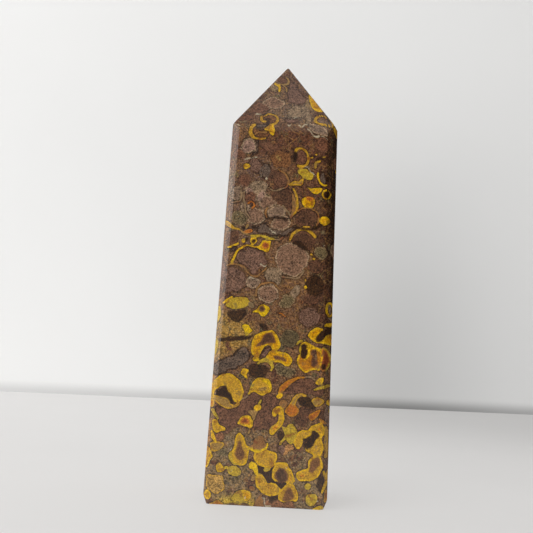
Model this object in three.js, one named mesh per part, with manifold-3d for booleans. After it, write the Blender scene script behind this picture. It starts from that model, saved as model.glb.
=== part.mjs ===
// A polished tower of fruit jasper: one piece of stone, ground to four tapering sides with
// broken edges, a four-sided point and a flat base with dubbed corners.
// Millimetres, +Z up. The origin is the middle of the base, and the front side faces -Y.
import * as THREE from "three";
import { mergeVertices } from "three/addons/utils/BufferGeometryUtils.js";
import Module from "manifold-3d";

// Driving dimensions
const HEIGHT = 100; // base to the tip of the point
const BASE_WIDTH = 27.1; // across the sides at the base, before its corners are dubbed
const SHOULDER_WIDTH = 23.6; // across the sides where the point begins
const FRONT_SHOULDER = 82.8; // height at which the front and back sides end
const SIDE_SHOULDER = 83.8; // height at which the left and right sides end
const TIP_FLAT = 0.25; // worn off the very tip

// Width of the strip ground off each upright edge, measured along either side that it joins
const EDGES = [
  { x: -1, y: -1, atShoulder: 1.5, atBase: 0.75 },
  { x: 1, y: -1, atShoulder: 2.35, atBase: 1.1 },
  { x: 1, y: 1, atShoulder: 1.8, atBase: 0.9 },
  { x: -1, y: 1, atShoulder: 1.9, atBase: 0.8 },
];

// Bevels round the base: how far each comes in at the bottom, and how high it starts
const FRONT_BEVEL = { inset: 0.5, rise: 0.7 };
const FLANK_BEVEL = { inset: 0.8, rise: 2.0 };
const CORNER_BEVEL = { inset: 0.5, rise: 2.8 };

const STONE_COLOUR = 0x6b5138;
const BLOCK = 300; // side of the block that each cut takes away

const wasm = await Module();
wasm.setup();

// A closed three.js geometry as a manifold-3d solid.
function solid(geometry) {
  const bare = geometry.clone();
  bare.deleteAttribute("normal");
  bare.deleteAttribute("uv");
  const merged = mergeVertices(bare);
  return new wasm.Manifold(
    new wasm.Mesh({
      numProp: 3,
      vertProperties: merged.attributes.position.array,
      triVerts: new Uint32Array(merged.index.array),
    }),
  );
}

// A manifold-3d solid as a three.js geometry.
function geometryOf(made) {
  const mesh = made.getMesh();
  const geometry = new THREE.BufferGeometry();
  geometry.setAttribute(
    "position",
    new THREE.BufferAttribute(mesh.vertProperties, mesh.numProp),
  );
  geometry.setIndex(new THREE.BufferAttribute(mesh.triVerts, 1));
  geometry.computeVertexNormals();
  return geometry;
}

// Grinds one flat facet: takes away everything on the far side of the plane through three
// points, where far means away from the middle of the stone.
function grind(stone, a, b, c) {
  const plane = new THREE.Plane().setFromCoplanarPoints(a, b, c);
  if (plane.distanceToPoint(new THREE.Vector3(0, 0, HEIGHT / 2)) > 0) plane.negate();
  const block = new THREE.BoxGeometry(BLOCK, BLOCK, BLOCK);
  const turn = new THREE.Quaternion().setFromUnitVectors(
    new THREE.Vector3(0, 0, 1),
    plane.normal,
  );
  const foot = plane.coplanarPoint(new THREE.Vector3());
  block.translate(0, 0, BLOCK / 2);
  block.applyQuaternion(turn);
  block.translate(foot.x, foot.y, foot.z);
  return stone.subtract(solid(block));
}

const point = (x, y, z) => new THREE.Vector3(x, y, z);

// Half the stone's width across its sides at a height.
function halfWidth(z) {
  return THREE.MathUtils.lerp(BASE_WIDTH, SHOULDER_WIDTH, z / FRONT_SHOULDER) / 2;
}

// The rough blank: a square prism a little over size.
function blank() {
  const block = new THREE.BoxGeometry(BASE_WIDTH + 2, BASE_WIDTH + 2, HEIGHT);
  return solid(block.translate(0, 0, HEIGHT / 2));
}

// The four tapering sides, and above each the facet of the point that meets it.
function grindSides(stone) {
  const low = halfWidth(0);
  const tip = point(0, 0, HEIGHT);
  for (const side of [-1, 1]) {
    const front = halfWidth(FRONT_SHOULDER) * side;
    stone = grind(
      stone,
      point(-1, low * side, 0),
      point(1, low * side, 0),
      point(0, front, FRONT_SHOULDER),
    );
    stone = grind(stone, point(-1, front, FRONT_SHOULDER), point(1, front, FRONT_SHOULDER), tip);
    const flank = halfWidth(SIDE_SHOULDER) * side;
    stone = grind(
      stone,
      point(low * side, -1, 0),
      point(low * side, 1, 0),
      point(flank, 0, SIDE_SHOULDER),
    );
    stone = grind(stone, point(flank, -1, SIDE_SHOULDER), point(flank, 1, SIDE_SHOULDER), tip);
  }
  return stone;
}

// A narrow flat along each upright edge, wider at the shoulder than at the base.
function breakEdges(stone) {
  for (const edge of EDGES) {
    const low = halfWidth(0);
    const high = halfWidth(FRONT_SHOULDER);
    stone = grind(
      stone,
      point(edge.x * low, edge.y * (low - edge.atBase), 0),
      point(edge.x * (low - edge.atBase), edge.y * low, 0),
      point(edge.x * high, edge.y * (high - edge.atShoulder), FRONT_SHOULDER),
    );
  }
  return stone;
}

// The bevels round the base: fine ones in front and behind, and deeper ones at the flanks
// and the corners.
function dubBase(stone) {
  for (const side of [-1, 1]) {
    const front = halfWidth(FRONT_BEVEL.rise) * side;
    stone = grind(
      stone,
      point(-1, front, FRONT_BEVEL.rise),
      point(1, front, FRONT_BEVEL.rise),
      point(0, (halfWidth(0) - FRONT_BEVEL.inset) * side, 0),
    );
    const flank = halfWidth(FLANK_BEVEL.rise) * side;
    stone = grind(
      stone,
      point(flank, -1, FLANK_BEVEL.rise),
      point(flank, 1, FLANK_BEVEL.rise),
      point((halfWidth(0) - FLANK_BEVEL.inset) * side, 0, 0),
    );
  }
  for (const corner of EDGES) {
    const outer = halfWidth(0) - corner.atBase / 2;
    const inner = outer - CORNER_BEVEL.inset;
    stone = grind(
      stone,
      point(corner.x * (outer - 1), corner.y * (outer + 1), CORNER_BEVEL.rise),
      point(corner.x * (outer + 1), corner.y * (outer - 1), CORNER_BEVEL.rise),
      point(corner.x * inner, corner.y * inner, 0),
    );
  }
  return stone;
}

// The tip of the point, worn to a tiny flat.
function bluntTip(stone) {
  const top = HEIGHT - TIP_FLAT;
  return grind(stone, point(1, 0, top), point(0, 1, top), point(0, 0, top));
}

const ground = bluntTip(dubBase(breakEdges(grindSides(blank()))));

const tower = new THREE.Group();
const stone = new THREE.Mesh(
  geometryOf(ground),
  new THREE.MeshStandardMaterial({ color: STONE_COLOUR, roughness: 0.22, metalness: 0 }),
);
stone.name = "jasper_tower";
tower.add(stone);

export default tower;
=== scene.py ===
"""The looks of a polished fruit jasper tower, standing on a pale floor before a pale wall.

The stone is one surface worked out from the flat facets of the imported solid. Its markings are
outlines in millimetres on each side, kept on the mesh as distances to their edges, and the
material colours them. The markings of the front follow the real stone. Those of the sides that
aren't seen are made up in the same way, from a seed.
"""
from collections import namedtuple

import bpy
import numpy as np
from mathutils import Matrix, Vector


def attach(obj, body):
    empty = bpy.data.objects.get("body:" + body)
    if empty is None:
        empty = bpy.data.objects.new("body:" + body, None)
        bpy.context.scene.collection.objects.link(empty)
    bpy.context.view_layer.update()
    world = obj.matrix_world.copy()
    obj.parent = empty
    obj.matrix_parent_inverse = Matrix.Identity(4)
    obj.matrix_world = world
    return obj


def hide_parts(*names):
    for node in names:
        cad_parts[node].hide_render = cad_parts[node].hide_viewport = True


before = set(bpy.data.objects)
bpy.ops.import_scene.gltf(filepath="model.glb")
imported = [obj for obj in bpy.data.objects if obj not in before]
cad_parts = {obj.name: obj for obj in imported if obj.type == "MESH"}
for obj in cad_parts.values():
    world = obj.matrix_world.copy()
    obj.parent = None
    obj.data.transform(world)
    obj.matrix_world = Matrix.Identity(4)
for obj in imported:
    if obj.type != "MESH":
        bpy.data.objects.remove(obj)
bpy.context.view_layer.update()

bl_info = {
    "name": "Fruit jasper tower",
    "version": (1, 0, 0),
    "blender": (4, 5, 0),
    "location": "3D View > Sidebar > Jasper",
    "description": "Makes the polished stone of a fruit jasper tower and the stage it stands on",
    "category": "Object",
}

NODE = "jasper_tower"
STONE = "polished_stone"
MM = 0.001


# Properties that a user can change


def linear(red, green, blue):
    """A display colour of 0 to 255 as linear light, by the sRGB curve."""
    value = np.array((red, green, blue)) / 255
    curved = ((value + 0.055) / 1.055) ** 2.4
    return tuple(float(part) for part in np.where(value <= 0.04045, value / 12.92, curved))


def colour(name, description, *display):
    """A colour, with its default given as a display colour."""
    return bpy.props.FloatVectorProperty(
        name=name,
        description=description,
        subtype="COLOR",
        size=3,
        min=0.0,
        max=1.0,
        default=linear(*display),
    )


def length(name, description, default, **limits):
    """A length in metres."""
    return bpy.props.FloatProperty(
        name=name, description=description, default=default, precision=5, unit="LENGTH", **limits
    )


def angle(name, description, degrees):
    """An angle, with its default given in degrees."""
    default = float(np.radians(degrees))
    return bpy.props.FloatProperty(
        name=name, description=description, default=default, subtype="ANGLE"
    )


def amount(name, description, default, least=0.0, **more):
    """A plain number."""
    return bpy.props.FloatProperty(
        name=name, description=description, default=default, min=least, **more
    )


class JasperColours(bpy.types.PropertyGroup):
    """The colours of the stone, named as its markings are."""

    yellow: colour("Yellow", "Bright rim of the yellow rings and crescents", 204, 158, 14)
    gold: colour("Gold", "Body of the brightest yellow markings", 190, 134, 0)
    mustard: colour("Mustard", "Body of the large yellow markings", 181, 136, 32)
    orange: colour("Orange", "Orange markings", 174, 111, 20)
    ember: colour("Ember", "Red-orange streaks and pears", 172, 99, 30)
    rust: colour("Rust", "Red-brown spots in the yellow markings", 128, 62, 30)
    olive: colour("Olive yellow", "Green-tinged yellow markings", 176, 145, 38)
    tan: colour("Tan", "Dull tan rims and patches", 146, 112, 62)
    bronze: colour("Bronze", "Orange-brown bands and thin lines", 138, 96, 52)
    thread: colour("Thread", "Faint thin lines", 132, 106, 76)
    lemon: colour("Lemon", "Brightest yellow spots", 208, 168, 4)
    lilac: colour("Lilac", "Palest pinkish nodules", 126, 98, 83)
    clay: colour("Clay", "Red clay streaks near the base", 114, 74, 47)
    heart: colour("Brown heart", "Brown cores of the yellow markings", 106, 68, 38)
    # Black and dark brown also paint the shade on the right broken edge
    black: colour("Black", "Nearly black pods and hollows", 44, 24, 8)
    dark: colour("Dark brown", "Dark nodules", 74, 48, 33)
    maroon: colour("Maroon", "Smooth maroon nodules and fields", 90, 59, 42)
    red: colour("Red brown", "Red-brown nodules and the ground at the shoulder", 92, 58, 40)
    purple: colour("Purple grey", "Purple-grey nodules", 99, 72, 58)
    pink: colour("Pink brown", "Pinkish nodules", 110, 82, 63)
    grey: colour("Grey", "Grey nodules and the ground of the point", 106, 85, 68)
    shell: colour("Shell grey", "Pale grey-brown nodules", 120, 99, 76)
    pale: colour("Pale rim", "Thin pale rims of the pink and grey nodules", 140, 116, 90)
    slate: colour("Slate", "Dark grey nodules", 80, 65, 54)
    moss: colour("Moss", "Green-grey nodules", 92, 78, 52)
    fern: colour("Fern", "Dark green nodules", 72, 61, 40)
    grain: colour("Olive grain", "Grainy ground near the base", 121, 98, 68)
    ochre: colour("Ochre ground", "Ochre ground at the left of the middle", 150, 115, 55)
    umber: colour("Umber ground", "Brown ground of the middle", 111, 78, 52)
    # Brick is partly painted light on the left broken edge, and also the colour of specks and one marking
    brick: colour("Brick", "Lighter red-brown ground along the left edge", 156, 110, 62)
    # Cream is also the colour of the painted glints
    cream: colour("Cream", "Pale cracks and specks", 196, 182, 150)
    line: colour("Dark line", "Thin dark line round a marking", 30, 18, 9)


class JasperSizes(bpy.types.PropertyGroup):
    """The sizes that shape the stone's edges and the grain of its markings."""

    edge_softness: length(
        "Edge softness",
        "How softly two facets run into each other along a polished edge",
        0.00004,
        min=0.00002,
        max=0.001,
    )
    rim_width: length(
        "Rim width", "Width of the bright rim of a large yellow marking", 0.00042, min=0.0001, max=0.003
    )
    grain_size: length(
        "Grain size", "Size of the grains in the ground of the stone", 0.00027, min=0.0001, max=0.003
    )
    polish: amount(
        "Polish",
        "Roughness of the polished surface, where 0 is a mirror",
        0.2,
        0.06,
        max=1.0,
        subtype="FACTOR",
    )
    seed: bpy.props.IntProperty(
        name="Seed",
        description="Picks the markings of the sides that the photograph doesn't show",
        default=11,
        min=0,
    )


class StageSizes(bpy.types.PropertyGroup):
    """Where the camera stands, and what lies round the stone."""

    camera_distance: length(
        "Camera distance", "From the lens to the middle of the stone, along the floor", 0.2381
    )
    camera_height: length("Camera height", "Height of the lens over the floor", 0.0388)
    camera_offset: length(
        "Camera offset", "How far the lens stands to the left of the stone's middle", 0.0025
    )
    camera_pitch: angle("Camera pitch", "How far the camera looks up", 3.4)
    camera_roll: angle(
        "Camera roll",
        "How far the camera is turned to its left, which leans the stone to the right",
        3.18,
    )
    focal_length: amount("Focal length", "In millimetres, on a sensor 36 mm wide", 69.3, 1.0)
    wall_distance: length("Wall distance", "From the middle of the stone back to the wall", 0.295)
    wall_slant: amount(
        "Wall slant", "How much farther back the wall is for each metre to the right", 0.15, -1.0
    )
    key_power: amount("Key light", "Power of the large soft light at the front left, in watts", 7.25)
    left_power: amount(
        "Left light", "Power of the light that the left edges of the stone mirror, in watts", 0.65
    )
    light_left: amount(
        "Surroundings at the left", "Brightness of the surroundings at the left of the stone", 0.7
    )
    light_right: amount(
        "Surroundings at the right", "Brightness of the surroundings at the right of the stone", 0.03
    )
    light_front: amount(
        "Surroundings behind the camera",
        "Brightness of the surroundings behind the camera, from its left to its middle",
        0.32,
    )
    light_above: amount(
        "Surroundings overhead", "Brightness of the surroundings over the stone", 0.5
    )
    wall: colour("Wall", "Colour of the wall", 248, 248, 247)
    floor: colour("Floor", "Colour of the floor", 132, 131, 130)
    wall_glow: amount(
        "Wall glow", "How much the wall glows, in place of the light of more lamps", 0.1
    )
    floor_glow: amount(
        "Floor glow", "Light that the floor gives off, which keeps the shadow on it faint", 2.3
    )


# Shape of the stone

# Columns of the mesh across each side, front first and then to its right, and on half a broken edge
SIDE_COLUMNS = (82, 56, 56, 56)
EDGE_COLUMNS = 4
# Columns next to a broken edge, as parts of the side's width
NEAR_EDGE = (0.0036, 0.0095)

# Rows of the mesh: across the base, up its bevels, up the sides, and up the point
BASE_ROWS = 10
BEVEL_ROWS = 7
SIDE_ROWS = 258
TIP_ROWS = 56
ROUNDING_STEPS = 6

# Triangles of the solid under this size are left out, and those whose outward ways and planes
# agree this well are one facet
LEAST_TRIANGLE = (0.01 * MM) ** 2
SAME_WAY = 0.9995
SAME_PLANE = 0.05 * MM

# How much of its outward way points up or down: an upright facet has less than the first, one
# of the point more than the second, and a level one more than the third
UPRIGHT_RISE = 0.1
POINT_RISE = 0.3
LEVEL_RISE = 0.95

# Searches for the edges of the facets: a number next to nothing, halvings, heights that the
# outline is worked out at, how high a bevel can reach, shares of the stone's height where the
# middle and the shoulder are taken to be, and the corners of the outline
TINY = 1e-6
HALVINGS = 40
LEVELS = 200
BEVEL_REACH = 6 * MM
MIDDLE_GUESS = 0.4
SHOULDER_GUESS = 0.83
SHOULDER_SPAN = (0.7, 0.95)
SHOULDER_ROUNDS = 3
KNOTS = 12

# Edge of the map of the looks that stays empty
MAP_MARGIN = 0.004


def facet_planes(node):
    """Each flat facet of a CAD node once, largest first: outward normals, and distances from the
    origin in metres. Triangles that lie in one plane count as one facet."""
    mesh = bpy.data.objects[node].data
    mesh.calc_loop_triangles()
    place = np.empty(len(mesh.vertices) * 3)
    mesh.vertices.foreach_get("co", place)
    corner = np.empty(len(mesh.loop_triangles) * 3, dtype=int)
    mesh.loop_triangles.foreach_get("vertices", corner)
    corners = place.reshape(-1, 3)[corner.reshape(-1, 3)]
    across = np.cross(corners[:, 1] - corners[:, 0], corners[:, 2] - corners[:, 0])
    size = np.linalg.norm(across, axis=1)
    order = np.argsort(-size)
    normals = []
    offsets = []
    for triangle in order[size[order] > LEAST_TRIANGLE]:
        normal = across[triangle] / size[triangle]
        offset = normal @ corners[triangle].mean(0)
        same = [
            normal @ other > SAME_WAY and abs(offset - there) < SAME_PLANE
            for other, there in zip(normals, offsets)
        ]
        if not any(same):
            normals.append(normal)
            offsets.append(offset)
    return np.array(normals), np.array(offsets)


def round_the_axis(normals, offsets, chosen):
    """The chosen facets in their order round the upright axis."""
    turn = np.arctan2(normals[chosen, 1], normals[chosen, 0])
    order = np.argsort(turn)
    return normals[chosen][order], offsets[chosen][order]


def meeting_line(normals, offsets):
    """Where each facet meets the next one round the axis: the point at height 0, and how it
    moves for each metre up. Both solve two plane equations for x and y."""
    following = np.roll(normals, -1, axis=0)
    grid = np.stack([normals[:, :2], following[:, :2]], axis=1)
    foot = np.linalg.solve(grid, np.stack([offsets, np.roll(offsets, -1)], axis=1)[..., None])
    lean = np.linalg.solve(grid, -np.stack([normals[:, 2], following[:, 2]], axis=1)[..., None])
    return foot[..., 0], lean[..., 0]


def reach(planes, direction, height):
    """How far from the axis a level ray in a direction leaves the solid, at a height: the
    nearest of the facets that it meets."""
    normals, offsets = planes
    facing = direction @ normals[:, :2].T
    room = offsets - height[..., None] * normals[:, 2]
    return np.where(facing > TINY, room / np.maximum(facing, TINY), np.inf).min(-1)


def crossing(inner, outer, direction, low, high):
    """Height at which one set of facets stops being nearer the axis than another, found by
    halving the span between two heights."""
    low = np.full(len(direction), low)
    high = np.full(len(direction), high)
    for _ in range(HALVINGS):
        middle = (low + high) / 2
        above = reach(inner, direction, middle) > reach(outer, direction, middle)
        high = np.where(above, middle, high)
        low = np.where(above, low, middle)
    return (low + high) / 2


def column_fractions(count):
    """Places of a side's columns between its two edges, with two extra ones near each edge."""
    near = np.array((0.0,) + NEAR_EDGE)
    inner = np.linspace(NEAR_EDGE[-1], 1 - NEAR_EDGE[-1], count + 1)[1:-1]
    return np.concatenate([near, inner, 1 - near[:0:-1]])


class Facets:
    """The stone's facets, sorted by what they do."""

    def __init__(self, node):
        self.normals, self.offsets = facet_planes(node)
        rise = self.normals[:, 2]
        self.upright = self.in_order(np.abs(rise) < UPRIGHT_RISE)
        self.point = self.in_order((rise > POINT_RISE) & (rise < LEVEL_RISE))
        self.bevel = self.in_order((rise < -UPRIGHT_RISE) & (rise > -LEVEL_RISE))
        self.all = (self.normals, self.offsets)
        self.front = int(self.upright[0][:, 1].argmin())
        self.top = self.offsets[rise > LEVEL_RISE].max()

    def in_order(self, chosen):
        """The chosen facets, in their order round the axis."""
        return round_the_axis(self.normals, self.offsets, chosen)

    def depth(self, points, outward):
        """How far points lie behind the side and the facet of the point that face outward."""
        level = self.normals[:, :2] @ outward
        span = np.linalg.norm(self.normals[:, :2], axis=1)
        mine = (level > 0.99 * span) & (span > 0.5) & (self.normals[:, 2] > -UPRIGHT_RISE)
        return -(points @ self.normals[mine].T - self.offsets[mine]).max(1)


def knot_directions(facets, heights):
    """Directions from the axis to the twelve corners of the outline at each height: for each
    broken edge the place in it that a ridge of the point comes down to and its far end, and then
    the near end of the next edge. Above the end of an edge its directions stay as they are there."""
    normals, offsets = facets.point
    foot, lean = meeting_line(*facets.upright)
    foot, lean = (np.roll(part, 2 - facets.front, axis=0) for part in (foot, lean))
    closing = lean @ normals[:, :2].T + normals[:, 2]
    ends = (offsets - foot @ normals[:, :2].T) / np.maximum(closing, TINY)
    end = np.where(closing > TINY, ends, np.inf).min(1)
    held = np.minimum(heights[:, None], end)
    near, far = np.moveaxis((foot + held[..., None] * lean).reshape(-1, 4, 2, 2), 2, 0)
    near_end, far_end = np.moveaxis((foot + end[:, None] * lean).reshape(4, 2, 2), 1, 0)
    ridge_foot, ridge_lean = meeting_line(*facets.point)
    ridge = ridge_foot + facets.top / 2 * ridge_lean
    ridge = np.roll(ridge, 1 - int(normals[:, 1].argmin()), axis=0)
    beside = near_end[:, 0] * ridge[:, 1] - near_end[:, 1] * ridge[:, 0]
    across = near_end - far_end
    share = beside / (across[:, 0] * ridge[:, 1] - across[:, 1] * ridge[:, 0])
    middle = near + share[:, None] * (far - near)
    knots = np.stack([middle, far, np.roll(near, -1, axis=1)], axis=2)
    return knots.reshape(len(heights), KNOTS, 2)


def ring_columns():
    """Which knot each column comes after, and how far on towards the next one it is."""
    after = []
    part = []
    half_edge = np.linspace(0, 1, EDGE_COLUMNS + 1)[:-1]
    for side, count in enumerate(SIDE_COLUMNS):
        across = column_fractions(count)
        for knot, fractions in ((0, half_edge), (1, across), (2, half_edge)):
            after.append(np.full(len(fractions), side * 3 + knot))
            part.append(fractions)
    return np.concatenate(after), np.concatenate(part)


def directions(facets, heights, after, part):
    """A direction from the axis for each column at its own height, on the straight line between
    the two knots on either side of it."""
    levels = np.linspace(0, facets.top, LEVELS)
    knots = knot_directions(facets, levels)
    step = heights / facets.top * (len(levels) - 1)
    low = np.clip(step.astype(int), 0, len(levels) - 2)
    share = (step - low)[..., None]
    following = (after + 1) % KNOTS
    here = knots[low, after] * (1 - share) + knots[low + 1, after] * share
    there = knots[low, following] * (1 - share) + knots[low + 1, following] * share
    return here * (1 - part[:, None]) + there * part[:, None]


def stone_points(facets, softness):
    """The stone's surface as rows of points, from the middle of the base up to the tip.

    Each column climbs the solid at its own direction from the axis: in across the base, up the
    bevel, up the side to the shoulder and up the point, with a row on each of those edges. Each
    point is then drawn in until the smooth greatest of its distances to all the facets is zero:
    softness times the logarithm of the sum of exp(distance / softness). That leaves the facets
    flat and rounds their edges."""
    after, part = ring_columns()
    middle = np.full(len(after), facets.top * MIDDLE_GUESS)
    straight = directions(facets, middle, after, part)
    bevel_end = crossing(facets.bevel, facets.upright, straight, 0.0, BEVEL_REACH)
    low = directions(facets, bevel_end, after, part)
    bevel_end = crossing(facets.bevel, facets.upright, low, 0.0, BEVEL_REACH)
    shoulder = np.full(len(after), facets.top * SHOULDER_GUESS)
    lowest, highest = (facets.top * share for share in SHOULDER_SPAN)
    for _ in range(SHOULDER_ROUNDS):
        high = directions(facets, shoulder, after, part)
        shoulder = crossing(facets.upright, facets.point, high, lowest, highest)

    climb = np.concatenate([
        np.linspace(0, 1, BEVEL_ROWS + 1)[:-1],
        1 + np.linspace(0, 1, SIDE_ROWS + 1)[:-1],
        2 + np.linspace(0, 1, TIP_ROWS + 1),
    ])
    stops = np.stack([np.zeros(len(after)), bevel_end, shoulder, np.full(len(after), facets.top)])
    stage = np.clip(climb.astype(int), 0, 2)
    share = (climb - stage)[:, None]
    heights = stops[stage] * (1 - share) + stops[stage + 1] * share
    ways = directions(facets, heights, after, part)
    rings = ways * reach(facets.all, ways, heights)[..., None]
    walls = np.concatenate([rings, heights[..., None]], axis=-1)

    inward = np.linspace(0, 1, BASE_ROWS + 1)[1:-1]
    base = np.zeros((len(inward),) + walls.shape[1:])
    base[..., :2] = inward[:, None, None] * walls[0, :, :2]
    rows = np.concatenate([base, walls])
    poles = np.array([[0, 0, 0], [0, 0, facets.top]], dtype=float)
    points = np.concatenate([rows.reshape(-1, 3), poles])
    for _ in range(ROUNDING_STEPS):
        distance = (points @ facets.normals.T - facets.offsets) / softness
        top = distance.max(1, keepdims=True)
        weight = np.exp(distance - top)
        total = weight.sum(1, keepdims=True)
        value = softness * (top + np.log(total))
        slope = (weight / total) @ facets.normals
        points = points - value * slope / (slope**2).sum(1, keepdims=True)
    return points, rows.shape[:2]


def ring_faces(rows, columns):
    """Quads between neighbouring rows, closed round the axis, and a fan of triangles at each pole."""
    row, column = np.meshgrid(np.arange(rows - 1), np.arange(columns), indexing="ij")
    beside = (column + 1) % columns
    first = row * columns
    upper = first + columns
    quads = np.stack([first + column, first + beside, upper + beside, upper + column], -1)
    around = np.arange(columns)
    onward = (around + 1) % columns
    last = (rows - 1) * columns
    bottom, tip = rows * columns, rows * columns + 1
    below = np.stack([np.full(columns, bottom), onward, around], -1)
    above = np.stack([last + around, last + onward, np.full(columns, tip)], -1)
    return quads.reshape(-1, 4), np.concatenate([below, above])


def mesh_of(name, points, quads, triangles):
    """A smooth-shaded mesh from whole arrays of points, quads and triangles."""
    mesh = bpy.data.meshes.new(name)
    corner = np.concatenate([quads.ravel(), triangles.ravel()]).astype(np.int32)
    sizes = np.concatenate([np.full(len(quads), 4), np.full(len(triangles), 3)])
    starts = np.concatenate([[0], np.cumsum(sizes)[:-1]]).astype(np.int32)
    mesh.vertices.add(len(points))
    mesh.vertices.foreach_set("co", points.astype(np.float32).ravel())
    mesh.loops.add(len(corner))
    mesh.loops.foreach_set("vertex_index", corner)
    mesh.polygons.add(len(sizes))
    mesh.polygons.foreach_set("loop_start", starts)
    mesh.update(calc_edges=True)
    mesh.shade_smooth()
    mesh.validate()
    return mesh


def lay_flat(mesh, points, shape):
    """The map that the looks can be baked on: across is the way round the stone halfway up, and up
    is the mean way along a column, from the middle of the base to the tip. Each pole is spread
    along its edge of the map."""
    rows, columns = shape
    grid = points[:-2].reshape(rows, columns, 3)
    halfway = grid[rows // 2]
    around = np.linalg.norm(np.roll(halfway, -1, axis=0) - halfway, axis=1)
    across = np.concatenate([[0], np.cumsum(around)]) / around.sum()
    steps = np.linalg.norm(np.diff(grid, axis=0), axis=-1).mean(1)
    first = np.linalg.norm(grid[0], axis=-1).mean()
    last = np.linalg.norm(grid[-1] - points[-1], axis=-1).mean()
    up = np.cumsum(np.concatenate([[first], steps, [last]]))
    up = up / up[-1]
    row, column = np.meshgrid(np.arange(rows - 1), np.arange(columns), indexing="ij")
    square = [(column, row), (column + 1, row), (column + 1, row + 1), (column, row + 1)]
    quads = np.stack([np.stack([across[c], up[r]], -1) for c, r in square], axis=2)
    around = np.arange(columns)
    centre = (across[around] + across[around + 1]) / 2
    zeros = np.zeros(columns)
    below = [(centre, zeros), (across[around + 1], zeros + up[0]), (across[around], zeros + up[0])]
    above = [
        (across[around], zeros + up[-2]),
        (across[around + 1], zeros + up[-2]),
        (centre, zeros + 1),
    ]
    fans = [np.stack([np.stack(pair, -1) for pair in fan], axis=1) for fan in (below, above)]
    flat = np.concatenate([quads.reshape(-1, 2), fans[0].reshape(-1, 2), fans[1].reshape(-1, 2)])
    flat = MAP_MARGIN + flat * (1 - 2 * MAP_MARGIN)
    layer = mesh.uv_layers.new(name="OFBake")
    layer.uv.foreach_set("vector", flat.astype(np.float32).ravel())


# Markings

# A marking is a disc, a patch inside a smooth outline, or a stroke along a smooth line. Places are
# in millimetres on its side of the stone: to the right of the middle, and up from the base. An
# outline or a line is given as one row of numbers: right, up, right, up, and so on.
Mark = namedtuple("Mark", "paint form points widths")
RING_POINTS = 9


def pairs(numbers):
    """The places of a row of numbers."""
    return np.array(numbers, dtype=float).reshape(-1, 2)


def disc(paint, right, up, wide, high, turn=0):
    """A disc with its half width, half height and turn in degrees."""
    return Mark(paint, "disc", pairs((right, up)), (wide, high, turn))


def patch(paint, *numbers):
    """A patch inside a smooth closed line through its places."""
    return Mark(paint, "patch", pairs(numbers), ())


def stroke(paint, widths, *numbers):
    """A stroke along a smooth line through its places, with its half widths from end to end."""
    return Mark(paint, "stroke", pairs(numbers), widths)


def ring(paint, width, right, up, wide, high):
    """A closed stroke round a disc."""
    turns = np.linspace(0, 2 * np.pi, RING_POINTS)
    places = np.stack([right + wide * np.cos(turns), up + high * np.sin(turns)], -1)
    return Mark(paint, "stroke", places, (width,))


# Paints of one colour
PLAIN_PAINTS = (
    "grain", "olive", "tan", "bronze", "lemon", "clay", "brick", "thread", "heart", "black",
    "maroon", "shell", "umber", "cream",
)

# Each paint is the colour of a marking's rim, the colour of its body, and how wide the rim is
PAINTS = {name: (name, name, 1.0) for name in PLAIN_PAINTS} | {
    "yellow": ("yellow", "gold", 1.0),
    "amber": ("yellow", "gold", 1.4),
    "mustard": ("yellow", "mustard", 0.8),
    "ochre": ("mustard", "ochre", 0.6),
    "orange": ("mustard", "orange", 0.6),
    "ember": ("orange", "ember", 0.6),
    "rust": ("ember", "rust", 0.6),
    "copper": ("mustard", "ochre", 0.8),
    "flame": ("yellow", "orange", 0.9),
    "lilac": ("pale", "lilac", 1.0),
    "honey": ("mustard", "mustard", 1.0),
    "fern": ("moss", "fern", 1.0),
    "dark": ("red", "dark", 1.0),
    "red": ("maroon", "red", 1.0),
    "purple": ("dark", "purple", 1.0),
    "pink": ("pale", "pink", 1.0),
    "grey": ("pale", "grey", 1.0),
    "slate": ("black", "slate", 1.0),
    "moss": ("grain", "moss", 1.0),
}

# Broad grounds of the front, softly edged
FRONT_GROUNDS = (
    disc("grey", 2.6, 87.8, 4.2, 3.2),
    disc("pink", -4, 89.5, 3.6, 4),
    disc("purple", 2, 93.6, 2.4, 3.4),
    disc("red", 3, 81.2, 9, 2.6),
    disc("red", -3, 78.6, 8, 1.8),
    disc("red", 6.5, 74, 4.5, 8),
    disc("pink", -7.2, 66, 4.2, 10),
    disc("purple", -5.6, 73.6, 3.6, 2.8),
    # Dark and black grounds on the right broken edge and next to it: painted shade, as that edge faces away
    # from the lights, over darker stone beside it
    disc("dark", 13, 61, 4.6, 25),
    disc("black", 13.6, 66, 3.5, 21),
    disc("dark", 10.6, 52, 2.4, 14),
    # Lighter brick ground along the lower left broken edge: partly painted light, as that edge faces the
    # left light
    patch("brick", -14.6, 42, -12.2, 42, -12.6, 2, -14.6, 2),
    patch("ochre", -13, 40.5, -8, 40.3, -4.8, 38.4, -4.9, 35.4, -6.4, 34.2, -9.4, 33.2, -13, 32),
    disc("grain", -9, 9.5, 5.5, 4.5),
    disc("grain", -8, 4, 7, 4),
    disc("grain", 6.5, 10.5, 4.5, 2.5),
    disc("grain", 8.5, 4, 4, 4.5),
    disc("grain", -5, 14.5, 7, 1.8),
    disc("olive", -6, 0.2, 4.2, 1.9),
)

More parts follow.
